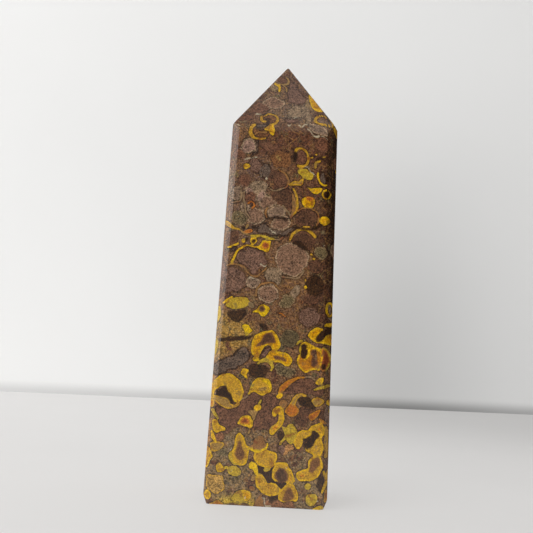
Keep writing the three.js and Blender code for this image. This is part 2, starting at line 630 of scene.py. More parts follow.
FRONT_NODULES = (
    # Painted shade on the broken edge at the right, which faces away from the lights: a black patch
    patch("black", 11.3, 82, 11.9, 83.4, 13, 82.6, 13.6, 64, 14, 46, 12.4, 45, 12, 52, 11.8, 58, 11.2, 62,
          11.5, 67, 11.6, 74, 11, 78),
    # The point
    disc("maroon", -1.4, 96.3, 1.6, 1, 10),
    disc("grain", -2.7, 94, 0.9, 0.9),
    patch("purple", 0.5, 97, 1.8, 95.2, 3.4, 92.8, 4.5, 91.2, 3.6, 90, 1.6, 90.1, 0.3, 90.6, 0.2, 93,
          0.4, 95.2),
    disc("pink", -2.8, 89.9, 2.4, 1.5),
    disc("maroon", -6, 88.2, 2, 1.6, 10),
    disc("shell", 2.7, 87.9, 2.4, 1.5, 10),
    stroke("shell", (0.2, 0.45, 0.5, 0.3), 4.5, 88.8, 5, 87.4, 5.1, 86, 4.8, 84.9),
    disc("grain", 5.2, 90.2, 0.7, 1.5, -15),
    disc("purple", 1.3, 85.4, 1.5, 0.6),
    disc("heart", -3.6, 85.6, 1.5, 1),
    disc("slate", -5.3, 83.7, 1.4, 0.5),
    disc("grey", 9.1, 85.4, 1.9, 0.8, -20),
    patch("moss", -10.6, 84.6, -9.7, 86.2, -8.6, 85.3, -8.8, 84.5, -9.7, 84.2),
    disc("heart", -5.4, 81.9, 1.9, 0.9),
    patch("grey", 5.4, 84.8, 7.4, 84.6, 9.2, 83.6, 9.6, 82.2, 7.8, 82.2, 6, 83),
    # The shoulder
    patch("lilac", -9.6, 78.4, -8.8, 80.2, -7.4, 80.6, -6.5, 79.6, -6.6, 78, -7.5, 77.4, -9, 77.4),
    stroke("slate", (0.2, 0.35, 0.3, 0.15), -6.3, 80.4, -6, 79, -6.2, 77.6, -7, 76.6),
    disc("red", -9.8, 76.9, 1.4, 1.1),
    patch("maroon", -5.2, 79.4, -3.6, 79.8, -1.6, 79, -0.6, 78.2, -2.4, 77.9, -4.4, 78.2),
    disc("red", 8.4, 80, 1.6, 1.6),
    disc("purple", -6.3, 74.6, 1.5, 1.6, 30),
    disc("slate", -3.9, 73.4, 1.4, 1.8, 20),
    disc("heart", -0.5, 76.2, 2.3, 1.8),
    disc("red", 3.9, 76.7, 1.3, 1.7),
    disc("slate", 8.9, 72.4, 0.8, 1.5),
    # The upper half
    disc("red", -8.4, 71.2, 1.3, 1.4),
    disc("dark", -2.4, 72.6, 1.2, 1.2, 15),
    disc("maroon", -0.2, 71.7, 1.5, 1.8),
    disc("shell", -5.3, 69.8, 2.1, 1.3, 15),
    disc("grey", -10, 68, 1.1, 1.6),
    patch("dark", -2.4, 68.2, -1.4, 69.2, 0.6, 69.9, 1.9, 69.5, 2.4, 68, 2.3, 66.2, 1.6, 65, 0.2, 65.8,
          -1.2, 66.6),
    disc("red", -6.9, 67.2, 1.3, 1.7),
    disc("lilac", -4.6, 67.7, 1, 1.2, -20),
    disc("lilac", -7.3, 69, 1.1, 0.9, 20),
    disc("grey", -8, 65.4, 0.9, 1.2),
    patch("pink", -4.7, 66.3, -3.2, 67.9, -1.9, 67.5, -1, 66.4, -2.4, 65.6, -4, 64.6),
    disc("pink", -5.6, 63.3, 2.2, 1.8),
    disc("grey", -0.9, 64.3, 1.9, 1.6, 15),
    disc("pink", 0.1, 62, 2.2, 1.5, 20),
    disc("dark", 5.8, 63.4, 2.4, 1.9),
    disc("moss", -9.1, 62.6, 1.8, 1.6),
    patch("slate", -4.8, 61.2, -3.2, 61.8, -1.8, 60.8, 0.6, 60.4, 3.4, 61.8, 3.4, 60.6, 1, 59.2, -2.4, 59.2,
          -4.8, 59.8),
    disc("dark", -10.3, 58.3, 1.3, 1.4),
    patch("dark", 2.5, 58.2, 3.4, 59.6, 5.4, 60.4, 7.2, 59.5, 7.8, 58.2, 7, 56.6, 5.8, 57, 4.2, 58),
    # The middle
    patch("black", -10.3, 41.6, -9.4, 41.9, -8.6, 42.3, -7.6, 42.1, -6.8, 42.5, -6.6, 41.6, -7.2, 40.4,
          -8.2, 39.8, -9.4, 40.2, -10.2, 41),
    patch("black", -3.6, 39.4, -2.8, 39.4, -2, 39.1, -1.4, 38.6, -2, 38.2, -2.9, 38.8),
    patch("fern", 1.6, 37, 2.4, 38.2, 3.8, 38.6, 5.2, 37.8, 5.4, 36.4, 4.6, 35.2, 3.2, 34.8, 1.9, 35.4),
    patch("slate", -13.2, 29.6, -12, 30.8, -11, 31.4, -9.6, 31.9, -8.6, 32.6, -7.6, 33.8, -6.6, 34.3,
          -5.7, 34.1, -5.2, 33.2, -5.2, 32, -5.8, 31, -6.8, 30.1, -8.4, 29.5, -9.8, 29, -11, 28.3,
          -12.6, 27.8),
    patch("black", -5.1, 29.3, -4.6, 30.4, -3.8, 30.7, -2.8, 30.5, -1.5, 30.3, -0.9, 29.5, -1.5, 28.6,
          -2.4, 27.9, -4.2, 27.9),
    patch("moss", 0.6, 30.6, 1.6, 31.2, 3.2, 30.6, 4.8, 30, 4.6, 28.8, 2.8, 28.2, 1.2, 29),
    patch("purple", -9, 54.6, -7.8, 55.8, -5.6, 56.2, -3.6, 55.2, -2.4, 53.8, -2.8, 52.6, -3.8, 51.8,
          -4.8, 50.5, -5.8, 50.4, -6.6, 51.6, -8.4, 52.6, -9.2, 53.4),
    patch("pink", -0.5, 54, -0.2, 56, 1.2, 57.3, 3.4, 57.6, 5.6, 56.6, 6.6, 54.8, 6.5, 53.2, 5.6, 52.4,
          5.4, 51.2, 4, 50.5, 1.8, 50.6, 0.2, 51.8),
    disc("moss", 9.3, 55.9, 1.4, 1.5),
    disc("dark", 8.2, 52.7, 1.7, 1.3),
    disc("shell", -0.8, 50.1, 1.9, 1.9),
    patch("purple", -11.2, 51, -9.4, 51.7, -7.8, 51.2, -6.8, 49.9, -6.9, 48, -7.6, 46.8, -9.6, 46.2,
          -11.4, 46.4),
    disc("grey", -5.3, 48.5, 1.6, 1.2),
    disc("black", 8.4, 48.5, 1.9, 2.3),
    disc("pink", -1.8, 46.2, 2.3, 1.9),
    disc("shell", 4.2, 47, 0.8, 1.5, -25),
    patch("moss", 0.6, 44.2, 1.4, 45.8, 3, 46.3, 4.2, 45.4, 3.6, 44, 2.2, 43.2),
    disc("dark", 7.6, 45.4, 1.6, 1, -10),
    disc("purple", 7.5, 41.6, 2.4, 2.3),
    patch("purple", -2.7, 32.6, -2.2, 33.8, -1, 34.4, -0.3, 33.8, -1.3, 33, -1.9, 32.2),
    patch("maroon", 3, 24.8, 4.4, 26.8, 7, 28.2, 9.4, 27.8, 11.4, 26, 11.4, 24.6, 9.5, 24.8, 6.4, 24.9),
    # The lower half
    disc("black", 2.7, 15.4, 0.7, 0.9),
    disc("clay", -10.9, 14.5, 1.3, 0.9),
    patch("black", 0.3, 2.5, 1.6, 2.6, 2.9, 2.3, 2.2, 1.5, 1, 1.4),
    patch("ochre", -12.9, 5.8, -12, 6.4, -9.8, 6.1, -9.1, 4.8, -9.2, 3.3, -10.4, 2.6, -12, 2.9, -13, 4.2),
    disc("dark", 7.1, 10.9, 0.5, 0.45),
    patch("brick", 3, 12.1, 3.4, 12.9, 4, 13.8, 5.1, 13.7, 5.4, 12.9, 4.6, 12.1, 3.8, 11.5),
    patch("clay", 1.6, 1.2, 3, 1.6, 4.6, 1.5, 6, 1.4, 6.6, 0.4, 6, -0.4, 2, -0.4),
    patch("clay", -0.4, 3, 0.4, 2, 1.4, 0.6, 1.2, -0.2, 0.3, 0.2, -0.4, 1.4, -0.9, 2.4),
    patch("maroon", -12, 20.8, -6.6, 23.4, -4.4, 24.2, 0.6, 24.2, 2.2, 22.2, 2.6, 18.5, 0.2, 16.6, -3.4, 17,
          -7.4, 16.8, -9.4, 15.4, -11.6, 18.4),
    patch("black", 6.1, 22.8, 6.3, 24, 7.9, 24.2, 9.3, 23.4, 9.9, 22, 8.4, 21.6, 7.2, 22.2),
    disc("dark", 8, 20.9, 1.7, 0.9, -25),
    disc("dark", 6.8, 19.2, 1.5, 1.2),
    disc("dark", 11.6, 20.2, 1, 1.4),
    patch("black", -2.2, 8.4, -0.6, 8.8, 1.3, 8.2, 2.4, 6.8, 4.8, 6.2, 5.2, 5.2, 3, 4.4, 1.4, 5.2, 0, 5.8,
          -1.6, 7.2),
    disc("black", 11.9, 5.8, 0.8, 1.8, 8),
    disc("pink", -0.6, 1.5, 1.4, 1.5, 20),
    disc("dark", -12.2, 0.9, 0.9, 0.6, -10),
    disc("dark", -5.5, 0.1, 2, 0.4),
    disc("purple", 3, 12.6, 0.9, 1.2, 30),
    disc("moss", -9.8, 11.2, 1.5, 1),
)

FRONT_FRUITS = (
    # The point
    stroke("tan", (0.08, 0.12, 0.12, 0.1, 0.08), -0.4, 97.1, 0.2, 96.6, 0.3, 95.8, -0.2, 95.2, -1.5, 95.1,
           -2.9, 95.5),
    stroke("mustard", (0.08, 0.18, 0.2), -2.9, 95.2, -2.1, 94.8, -1.7, 94.1, -1.8, 93.3),
    stroke("tan", (0.08, 0.1, 0.08), -1, 94.9, -0.3, 94.3, 0, 93.2),
    patch("yellow", 4.9, 92.5, 5.3, 91.2, 5.6, 89.8, 6.2, 88.9, 7.2, 88.2, 8.4, 88.3, 7.7, 89.9, 6.5, 91.7),
    stroke("honey", (0.24, 0.2, 0.18, 0.2), 6.6, 85.6, 6.9, 86.5, 7.9, 87.1, 9.2, 86.7, 10.2, 85.9,
           11.1, 84.9),
    stroke("honey", (0.22, 0.24, 0.22, 0.22), 6.6, 85.7, 7.3, 85.1, 8.7, 84.8, 10.2, 84.4, 11.5, 83.9),
    stroke("honey", (0.2, 0.32, 0.25), 11, 84, 11.5, 83.2, 11.8, 82.2),
    stroke("copper", (0.08, 0.1, 0.12), -4.8, 86.3, -4, 86.8, -2.9, 86.7),
    stroke("honey", (0.1, 0.2, 0.24, 0.2), -2.9, 86.7, -2.1, 86.3, -1.8, 85.5, -2.1, 84.7, -2.7, 84.2),
    stroke("honey", (0.2, 0.22, 0.18), -5.4, 86, -5.4, 85.1, -4.6, 84.8),
    stroke("honey", (0.3, 0.36, 0.34, 0.26, 0.14, 0.08), -6.9, 83.8, -7.6, 82.9, -7.7, 81.8, -7.1, 80.9,
           -6, 80.6, -4.2, 80.8),
    patch("yellow", -4.6, 82.7, -3.6, 83.9, -2.7, 84.3, -2.5, 82.9, -2.6, 81.5, -3.3, 81.7, -3.7, 82.4),
    stroke("bronze", (0.05, 0.1, 0.05), -6.7, 81.6, -5.5, 82.2, -4.2, 82),
    # The upper half
    stroke("honey", (0.2, 0.14, 0.12, 0.14, 0.16, 0.22, 0.3, 0.2), 2.5, 78.2, 3, 78.9, 4.2, 78.8, 5.2, 77.8,
           5.5, 76.5, 5, 75.3, 4.1, 74.9, 3.2, 75),
    patch("olive", 3.3, 74, 4.3, 74.4, 5.5, 74, 6.6, 73.5, 6.8, 72.8, 6.1, 72.1, 5, 72.1, 4, 72.8),
    patch("yellow", 5.6, 70.3, 6.5, 70, 7.5, 70.3, 8.9, 70.1, 8.5, 69.3, 7.8, 68.9, 6.7, 69.3),
    ring("yellow", 0.14, 9.95, 68.9, 0.85, 0.95),
    disc("yellow", 6, 66.9, 1.4, 1.25),
    stroke("honey", (0.08, 0.14, 0.15, 0.14, 0.08), 2.5, 69.8, 3.2, 68.4, 3.6, 66.8, 3.5, 65.3, 3, 64.1),
    stroke("bronze", (0.1, 0.3, 0.36, 0.2), 2.3, 68.6, 2.8, 67, 2.8, 65.2, 2.5, 63.7),
    stroke("bronze", (0.06, 0.1, 0.1, 0.08), -1, 73.8, 0.3, 73.3, 1, 72.4, 1.3, 71.4, 1.1, 70.5),
    stroke("thread", (0.06, 0.08, 0.06), 0.9, 70.1, -0.5, 69.4, -1.8, 69.2, -3, 69.7),
    patch("ochre", 1.4, 70.5, 2.5, 71.5, 3.4, 71.4, 4.2, 72.2, 4.7, 71.4, 4.3, 70.7, 2.9, 70.6),
    disc("mustard", -8.1, 74.3, 0.7, 0.62),
    stroke("mustard", (0.08, 0.14, 0.12, 0.08), 7.8, 73.6, 7.9, 72.4, 8.4, 71.4, 9.2, 70.9, 9.9, 71.1),
    stroke("orange", (0.14, 0.12, 0.08), 7.1, 74.8, 7.2, 76, 8.1, 76.2),
    disc("orange", 6.2, 77, 0.4, 0.16, 30),
    disc("orange", 7.1, 77.7, 0.3, 0.2, -30),
    disc("mustard", 8.8, 77.3, 0.5, 0.14, 10),
    stroke("thread", (0.05, 0.08, 0.05), -8.4, 68.6, -8.2, 66.2, -7.6, 63.9, -6.7, 62.6),
    stroke("thread", (0.05, 0.08, 0.05), -9.2, 69.4, -8.9, 67.8, -9.4, 66.3, -11, 66.1),
    stroke("rust", (0.05, 0.1, 0.08, 0.05), -7.4, 66, -6.4, 66.4, -5.9, 65.6, -6.4, 64.9),
    stroke("bronze", (0.04, 0.07, 0.04), -3, 65.4, -3.3, 64.2, -3.1, 63),
    stroke("bronze", (0.06, 0.1, 0.1, 0.08, 0.06), 3.7, 64.9, 4.6, 65.5, 6, 65.6, 7.5, 65.2, 8.3, 64.2,
           8.5, 62.9, 8, 61.8),
    stroke("thread", (0.05, 0.08, 0.05), 0.4, 65.9, 1.6, 64.5, 2.4, 63.2),
    disc("orange", 5.9, 61.5, 0.7, 0.14, 8),
    disc("orange", 7.6, 61.3, 0.3, 0.14, -30),
    disc("yellow", 9.85, 63.1, 1.1, 1),
    stroke("ochre", (0.5, 0.4, 0.14, 0.1), -12.6, 61.8, -11.4, 61.2, -10.2, 60.4, -8.8, 60),
    stroke("tan", (0.1, 0.12, 0.08), -8.8, 60, -7.8, 59.3, -6.6, 58.9),
    disc("rust", -6.8, 59.8, 0.9, 0.36),
    disc("tan", -7.2, 60.9, 0.28, 0.42, -20),
    stroke("olive", (0.1, 0.2, 0.24, 0.2, 0.08), -6.3, 58.8, -4.9, 58.9, -3.5, 58.8, -2.2, 58.5,
           -1.1, 58.3),
    stroke("thread", (0.05, 0.07, 0.05), -1.2, 58.3, -0.2, 58.3, 0.8, 58.9),
    stroke("honey", (0.12, 0.18, 0.2, 0.2, 0.22, 0.28), 2.3, 58.4, 2.9, 59.6, 4, 60.6, 5.4, 60.9, 6.8, 60.4,
           7.9, 59.4),
    patch("yellow", -8.2, 57.9, -7.7, 58.2, -7.5, 57.3, -8.1, 57.3),
    disc("yellow", -5.7, 57.8, 0.75, 0.75),
    patch("yellow", -4.1, 56.9, -3.6, 57.8, -1.9, 57.9, -2, 56.8, -2.3, 55.7, -3, 55.4, -4.7, 56.2),
    stroke("mustard", (0.08, 0.12, 0.08), -11.3, 56.1, -10.2, 56.3, -9, 57),
    stroke("yellow", (0.24, 0.2, 0.16, 0.14, 0.1, 0.06), -10.2, 52.8, -9.7, 53.8, -9.3, 54.9, -8.6, 55.9,
           -6.9, 56.6, -4.8, 56.4),
    # The middle
    patch("lemon", -5.1, 42, -4.2, 42.6, -3.6, 43.3, -2.6, 43.8, -1.7, 43.4, -1.4, 42.6, -2.1, 41.4,
          -3, 41.4, -3.6, 41.9),
    stroke("mustard", (0.08, 0.12, 0.08), -11.6, 43.6, -10.8, 44.4, -9.6, 45.1),
    patch("mustard", 10.9, 39.7, 11.2, 40.2, 12, 40.5, 13.2, 40.7, 13.2, 39.8, 12, 39.6),
    patch("lemon", -7.1, 38.9, -5.8, 39.1, -5.3, 38.5, -4.9, 38, -5.4, 37.5, -6, 36.9, -6.6, 37.8),
    patch("yellow", 7.4, 37.6, 7.7, 38.4, 8.6, 39, 9.6, 39.4, 10.5, 39.2, 10.4, 38.5, 9.7, 37.8, 9.4, 36.9,
          10.1, 36.6, 10.9, 36.9, 11.5, 37.7, 12.4, 38.2, 13.4, 38.4, 13.4, 35.9, 11.6, 35.9, 10, 36,
          8.7, 36.5, 7.8, 37.1),
    patch("yellow", -4.9, 34.6, -4.6, 35.8, -3.9, 36.9, -3, 37.6, -1.8, 38.1, -0.6, 38.1, 0.4, 37.5,
          1, 36.5, 1.4, 35.4, 1.2, 34.5, 0.6, 34, -0.1, 34, -0.5, 34.7, -1.1, 35, -1.8, 34.7, -2.4, 34,
          -2.8, 33.1, -3.3, 32.4, -4, 32.4, -4.6, 33.1),
    patch("lemon", -4.5, 31.8, -3.9, 32.3, -3.1, 32.2, -2.9, 31.7, -3.5, 31.3, -4.2, 31.3),
    patch("yellow", -1.5, 32.5, -0.9, 33.4, 0.4, 33.8, 2, 33.6, 3.3, 33.2, 4, 32.5, 4.2, 31.6, 3.5, 30.7,
          2.6, 30.8, 1.4, 31.3, 0.1, 31.6, -1, 31.8),
    stroke("olive", (0.1, 0.35, 0.42, 0.36, 0.26, 0.1), -3.1, 30.9, -2.4, 31.5, -1.4, 31.7, -0.5, 31.2,
           0.1, 30.4, -0.2, 29.5),
    patch("flame", 5.5, 32.9, 5.4, 31.6, 6.1, 30.4, 7.2, 29.5, 8.4, 29.8, 9.4, 30.3, 10.5, 30.2, 10.8, 32.4,
          10.6, 34.4, 9.2, 35, 8, 35.6, 6.9, 36.1, 6, 35.9, 5.9, 34.6, 6, 33.4),
    patch("rust", 10.7, 34.8, 11.6, 34.5, 12.3, 33.4, 12.3, 31.8, 11.6, 30.3, 10.8, 30, 10.6, 32.4),
    stroke("olive", (0.08, 0.16, 0.14, 0.08), 10.9, 35, 12, 34.3, 12.6, 33, 12.5, 31.5, 11.6, 30.1),
    stroke("olive", (0.08, 0.18, 0.16), 5.1, 35.4, 5.5, 36.1, 6.1, 36.4),
    stroke("olive", (0.1, 0.2, 0.1), 6, 35.4, 5.9, 34.6, 5.9, 34),
    stroke("ember", (0.3, 0.5, 0.55, 0.4, 0.26, 0.14, 0.08), 1.9, 24.8, 2.4, 25.7, 3.2, 26.6, 4.2, 27.4,
           5.2, 27.9, 6.2, 28.3, 7.2, 28.5),
    stroke("thread", (0.1, 0.12, 0.06), 7.2, 28.5, 8.4, 28.5, 9.4, 28),
    patch("yellow", 1.3, 24.1, 2, 24.7, 2.7, 24.3, 2.3, 23.6, 1.6, 23.6),
    patch("ochre", -12.4, 23.4, -10.6, 23.2, -9.4, 22.9, -8.6, 22, -7.9, 21.7, -6.9, 22.2, -6.8, 21.6,
          -8.2, 20.9, -9.8, 20.9, -11, 21.5, -12.2, 22.4),
    patch("mustard", -13.4, 25.2, -12.6, 26.4, -11.4, 27.8, -10, 28.3, -8.6, 28.1, -7.4, 27.3, -6.5, 26.1,
          -6.1, 24.6, -6.2, 23.2, -6.9, 22.3, -7.7, 22.3, -8.4, 22.9, -8.8, 23.7, -9.4, 24.3, -9.8, 25.2,
          -10.6, 25.6, -11.8, 25.2, -12.4, 24.2, -12.6, 23, -13.6, 22.8),
    patch("mustard", -4.9, 24.2, -4.4, 25.6, -3.9, 26.7, -3.2, 27.5, -2.2, 27.8, -1, 27.7, -0.2, 27,
          0.1, 26, -0.2, 24.9, -1.2, 24.2, -2.4, 24.2, -3.6, 24.7),
    stroke("olive", (0.1, 0.35, 0.3, 0.1), -4.8, 24.3, -4.2, 25.4, -3.7, 26.4, -3, 27.2),
    stroke("bronze", (0.05, 0.08, 0.08, 0.05), -11.3, 52, -9.4, 52.4, -7.6, 51.8, -6.6, 50.7, -5.6, 50,
           -4.4, 50, -3.3, 51, -2.5, 52),
    stroke("thread", (0.05, 0.08, 0.05), 0.9, 50.3, 2.4, 50, 4.2, 50, 5.3, 50.6, 5.8, 51.8),
    stroke("bronze", (0.06, 0.1, 0.1, 0.06), -4.5, 45.6, -4.2, 47.3, -2.9, 48.5, -0.9, 48.6, 0.6, 47.4),
    disc("yellow", 6.3, 48.2, 0.26, 0.26),
    disc("orange", 6.2, 49.6, 0.14, 0.4, 10),
    disc("orange", 7.2, 55.4, 0.5, 0.14, -30),
    disc("ochre", 7.8, 54.5, 0.3, 0.16, -30),
    patch("olive", -10.8, 43.2, -10.3, 44.4, -8.8, 45, -6.9, 45.2, -5.9, 44.2, -6.4, 43.1, -8, 42.7,
          -9.8, 42.6),
    disc("moss", -5.4, 43.6, 0.9, 0.5, -30),
    stroke("rust", (0.04, 0.1, 0.04), 0.6, 42.3, 1.4, 41.9, 2.3, 41.3),
    ring("amber", 0.2, 12, 43.5, 0.8, 1.4),
    patch("mustard", -6.8, 28.6, -6.1, 29.6, -5.2, 29.4, -5.7, 28.3, -5.2, 27.5, -6.1, 27.8),
    patch("mustard", 9.6, 27.4, 10.4, 28.5, 11.4, 28.3, 11.2, 27.3, 10.4, 27),
    stroke("olive", (0.08, 0.22, 0.26, 0.2), 9.4, 25.9, 10.6, 26.2, 12, 26.7, 13.2, 26.9),
    # The lower half
    disc("bronze", 2.8, 22.4, 0.85, 0.8),
    patch("ember", 3.5, 21.3, 3.6, 20.4, 4.6, 19.7, 5.8, 20.3, 6.3, 21.3, 5.6, 22.1, 4.6, 22.7, 4.1, 22.2),
    stroke("ochre", (0.5, 0.45, 0.36, 0.26, 0.14), 4.8, 22.5, 5.2, 23.4, 5.8, 24.2, 6.7, 24.6, 7.6, 24.4),
    patch("ochre", 9.1, 23.5, 10, 24.2, 11.2, 23.9, 11.6, 23.2, 10.8, 22.5, 9.6, 22.4),
    disc("mustard", 12.7, 23.2, 0.5, 0.6),
    patch("yellow", -3.5, 21.2, -3, 21.9, -2.3, 22.1, -1.9, 21.5, -2.3, 20.8, -3, 20.8),
    stroke("olive", (0.1, 0.2, 0.08), -2.6, 22, -2.3, 22.5, -2.1, 23),
    stroke("thread", (0.04, 0.07, 0.04), -6.6, 22.9, -5.6, 23.2, -5, 23.8),
    patch("tan", -4.7, 20.3, -3.6, 20.7, -2.7, 20.6, -3.1, 19.8, -3.4, 18.5, -3.9, 19.4),
    patch("ember", 8.6, 20.1, 9.2, 20.8, 10, 21.2, 11.1, 21.5, 10.7, 20.5, 9.9, 19.7, 9, 19.2),
    stroke("ember", (0.1, 0.24, 0.12), 10.8, 19.6, 11.5, 19.1, 12.3, 18.7),
    patch("mustard", 0.6, 21.1, 1.4, 21.7, 2.6, 21.6, 3, 20.9, 3.1, 19.5, 2.9, 18.1, 2.2, 17, 1.4, 16.2,
          0.7, 15.5, 0.1, 16.2, 0.4, 17.2, 1.2, 17.9, 1.9, 18.7, 2.1, 19.8, 1.8, 20.3, 1.2, 19.6, 0.7, 20),
    patch("yellow", -6.9, 17.7, -6.2, 18.9, -5.2, 19.6, -4.2, 19.1, -3.6, 18, -3.7, 17, -4.3, 16.8,
          -4.8, 17.3, -5.9, 17.3),
    stroke("tan", (0.06, 0.16, 0.06), -4.2, 16.5, -4.3, 16, -4.5, 15.5),
    patch("mustard", -12.4, 18, -11.8, 18.2, -11.2, 17.9, -10.6, 17.1, -9.8, 16.6, -9.5, 16.1, -10.4, 15.8,
          -11.4, 15.5, -12.1, 16.2),
    stroke("olive", (0.36, 0.28, 0.1), -12.4, 20.2, -11.9, 19.4, -11.3, 18.6),
    stroke("mustard", (0.26, 0.32, 0.2), -12.4, 15.6, -12.1, 14.6, -11.4, 13.5),
    patch("olive", 2.9, 17.5, 3.8, 17.3, 4.3, 18.1, 5.2, 18.1, 6, 16.9, 5.9, 15, 5.2, 13.8, 4.5, 14,
          3.9, 14.9, 3.2, 14.3, 2.9, 13.4, 2.4, 13.7, 2.8, 14.6, 3.4, 15.4, 3.3, 16.5),
    patch("mustard", 5.8, 15.4, 6.2, 16.4, 7.2, 16.9, 8.5, 17, 9.2, 17.9, 10.3, 18.5, 11.3, 18.5,
          12.1, 17.6, 11.9, 16.3, 11.2, 15.9, 10.4, 16.7, 9.6, 17, 9.2, 16.1, 8.3, 15.3, 7.4, 14.9,
          7.5, 14.1, 6.9, 13.1, 6.1, 12.9, 5.7, 13.9),
    patch("mustard", 8.1, 13.3, 8.5, 12.4, 9.6, 12, 10.5, 11.4, 11.5, 11.7, 12, 13.2, 11.8, 14.7, 11, 15.7,
          10.3, 15, 9.9, 13.9, 9.2, 13.3),
    stroke("ochre", (0.24, 0.34, 0.3), 12.5, 17.8, 12.6, 14.5, 12.7, 11.6),
    patch("mustard", -7, 15.2, -6.3, 15.8, -5.6, 15.1, -5, 14, -4.5, 12.8, -4.1, 11.2, -4.3, 9.8, -5.2, 8.8,
          -6.2, 8.7, -7.2, 9.2, -7.7, 10.4, -7.7, 11.6, -7.3, 13, -7.2, 14.2),
    patch("olive", -8.3, 11.1, -7.6, 11.7, -7.4, 9.9, -6.6, 8.8, -7.5, 9, -8.3, 10),
    patch("bronze", -4.2, 12.8, -3.3, 13.3, -3.1, 14.3, -2.2, 15.2, -1.3, 15, -0.8, 13.9, -0.2, 13,
          -1.6, 12.2),
    stroke("lemon", (0.1, 0.3, 0.34, 0.3, 0.14), -4.3, 12.7, -3.2, 12.1, -1.6, 12.2, -0.6, 12.8,
           -0.1, 13.5),
    patch("ochre", -12.5, 13.1, -11.4, 13.5, -10, 13.4, -9.6, 12.8, -10.6, 11.8, -12, 11.4, -12.5, 12.2),
    patch("mustard", -13.5, 12.2, -12.6, 11.7, -11.9, 10.4, -12.6, 9.3, -13, 8, -13.6, 8.4),
    patch("mustard", -2.9, 10.6, -2.7, 11.6, -1.8, 12.1, -0.2, 12.2, 1.2, 12, 2.1, 11, 1.9, 9.8, 1.2, 8.9,
          0, 8.5, -1.2, 8.8, -2.3, 9.5),
    patch("mustard", 6.6, 6.8, 6.6, 7.7, 7.3, 8.4, 8.6, 8.5, 9, 9.2, 9, 10.4, 9.7, 11.4, 10.8, 11.6,
          11.8, 10.9, 12, 9.4, 11.6, 7.9, 10.6, 6.8, 9.2, 6.2, 7.6, 6),
    patch("mustard", 1.2, 7.8, 1.6, 9.1, 2.7, 9.9, 4, 9.7, 4.9, 8.7, 5.8, 7.4, 6, 6, 5.3, 5.2, 4.2, 5.6,
          2.8, 5.7, 1.7, 5.9),
    patch("mustard", -11.1, 8.2, -10.6, 9, -10, 8.8, -9.4, 8.1, -9.1, 7.6, -9.6, 7.1, -10.5, 7.2),
    stroke("olive", (0.16, 0.26, 0.1), -9.3, 7.9, -8.8, 8.1, -8.2, 8.1),
    disc("olive", -7, 7.4, 1.5, 1, -20),
    patch("lemon", -4, 8.9, -3.4, 9.6, -2.6, 9.3, -2, 8.4, -1.8, 7.4, -2.3, 7, -3, 7.9, -3.7, 8.2),
    patch("mustard", -2.3, 6.5, -1.8, 7.3, -0.8, 6.7, 0.2, 5.3, 1.4, 5.2, 2.5, 4.8, 3.2, 4, 2.9, 3.1,
          1.6, 2.6, 0.2, 2.7, -1, 3.2, -1.9, 4.4, -2.3, 5.6),
    disc("tan", -2.9, 6.2, 0.4, 0.6, -20),
    disc("bronze", -2.9, 3.9, 0.6, 0.5),
    patch("mustard", 2.8, 2, 3, 3.6, 4.1, 4.7, 5.3, 5.4, 6.3, 4.9, 7, 3.2, 6.8, 1.8, 5.2, 1.6, 3.7, 1.5),
    disc("olive", 9, 5, 0.65, 0.6),
    disc("olive", 10, 2.2, 1.3, 1.3),
    stroke("mustard", (0.2, 0.32, 0.3, 0.16), 12.4, 8.3, 12.9, 6.8, 12.8, 5.2, 12.2, 3.9),
    patch("lemon", 10.3, -0.1, 11.3, 0.7, 12.3, 1, 12.8, 0.2, 11.6, -0.4),
    patch("olive", -7.3, 1.6, -6.7, 2.5, -5.9, 3.2, -5, 3.5, -4.6, 2.2, -4.8, 0.9, -6.4, 0.8),
    patch("yellow", -5.2, 3.4, -4.1, 3.4, -3.2, 2.7, -3.1, 1.8, -3.7, 1.2, -4.6, 1.2, -5, 2.3),
    patch("mustard", -13.4, 2.2, -12.6, 3, -11.9, 2.2, -12.2, 1.2, -12.9, 1),
    patch("orange", -12, 0, -11, 0.7, -10.2, 0.9, -9.2, 0.4, -9, -0.3, -11.4, -0.4),
    patch("bronze", -2.1, -0.2, -1.9, 1.4, -1, 2.8, -0.7, 1.9, -0.3, 0.6, 0.2, -0.3),
    disc("orange", -12.8, 21.7, 0.5, 0.8),
    disc("olive", 0, 8.1, 0.7, 0.4, 10),
    disc("orange", 13.1, 3, 0.5, 1.3),
    stroke("olive", (0.3, 0.45, 0.3), -12.7, 35.6, -12.6, 34, -12.8, 32.6),
    stroke("olive", (0.3, 0.5, 0.4), -12.4, 42.6, -12.4, 41, -12.8, 39.6),
)

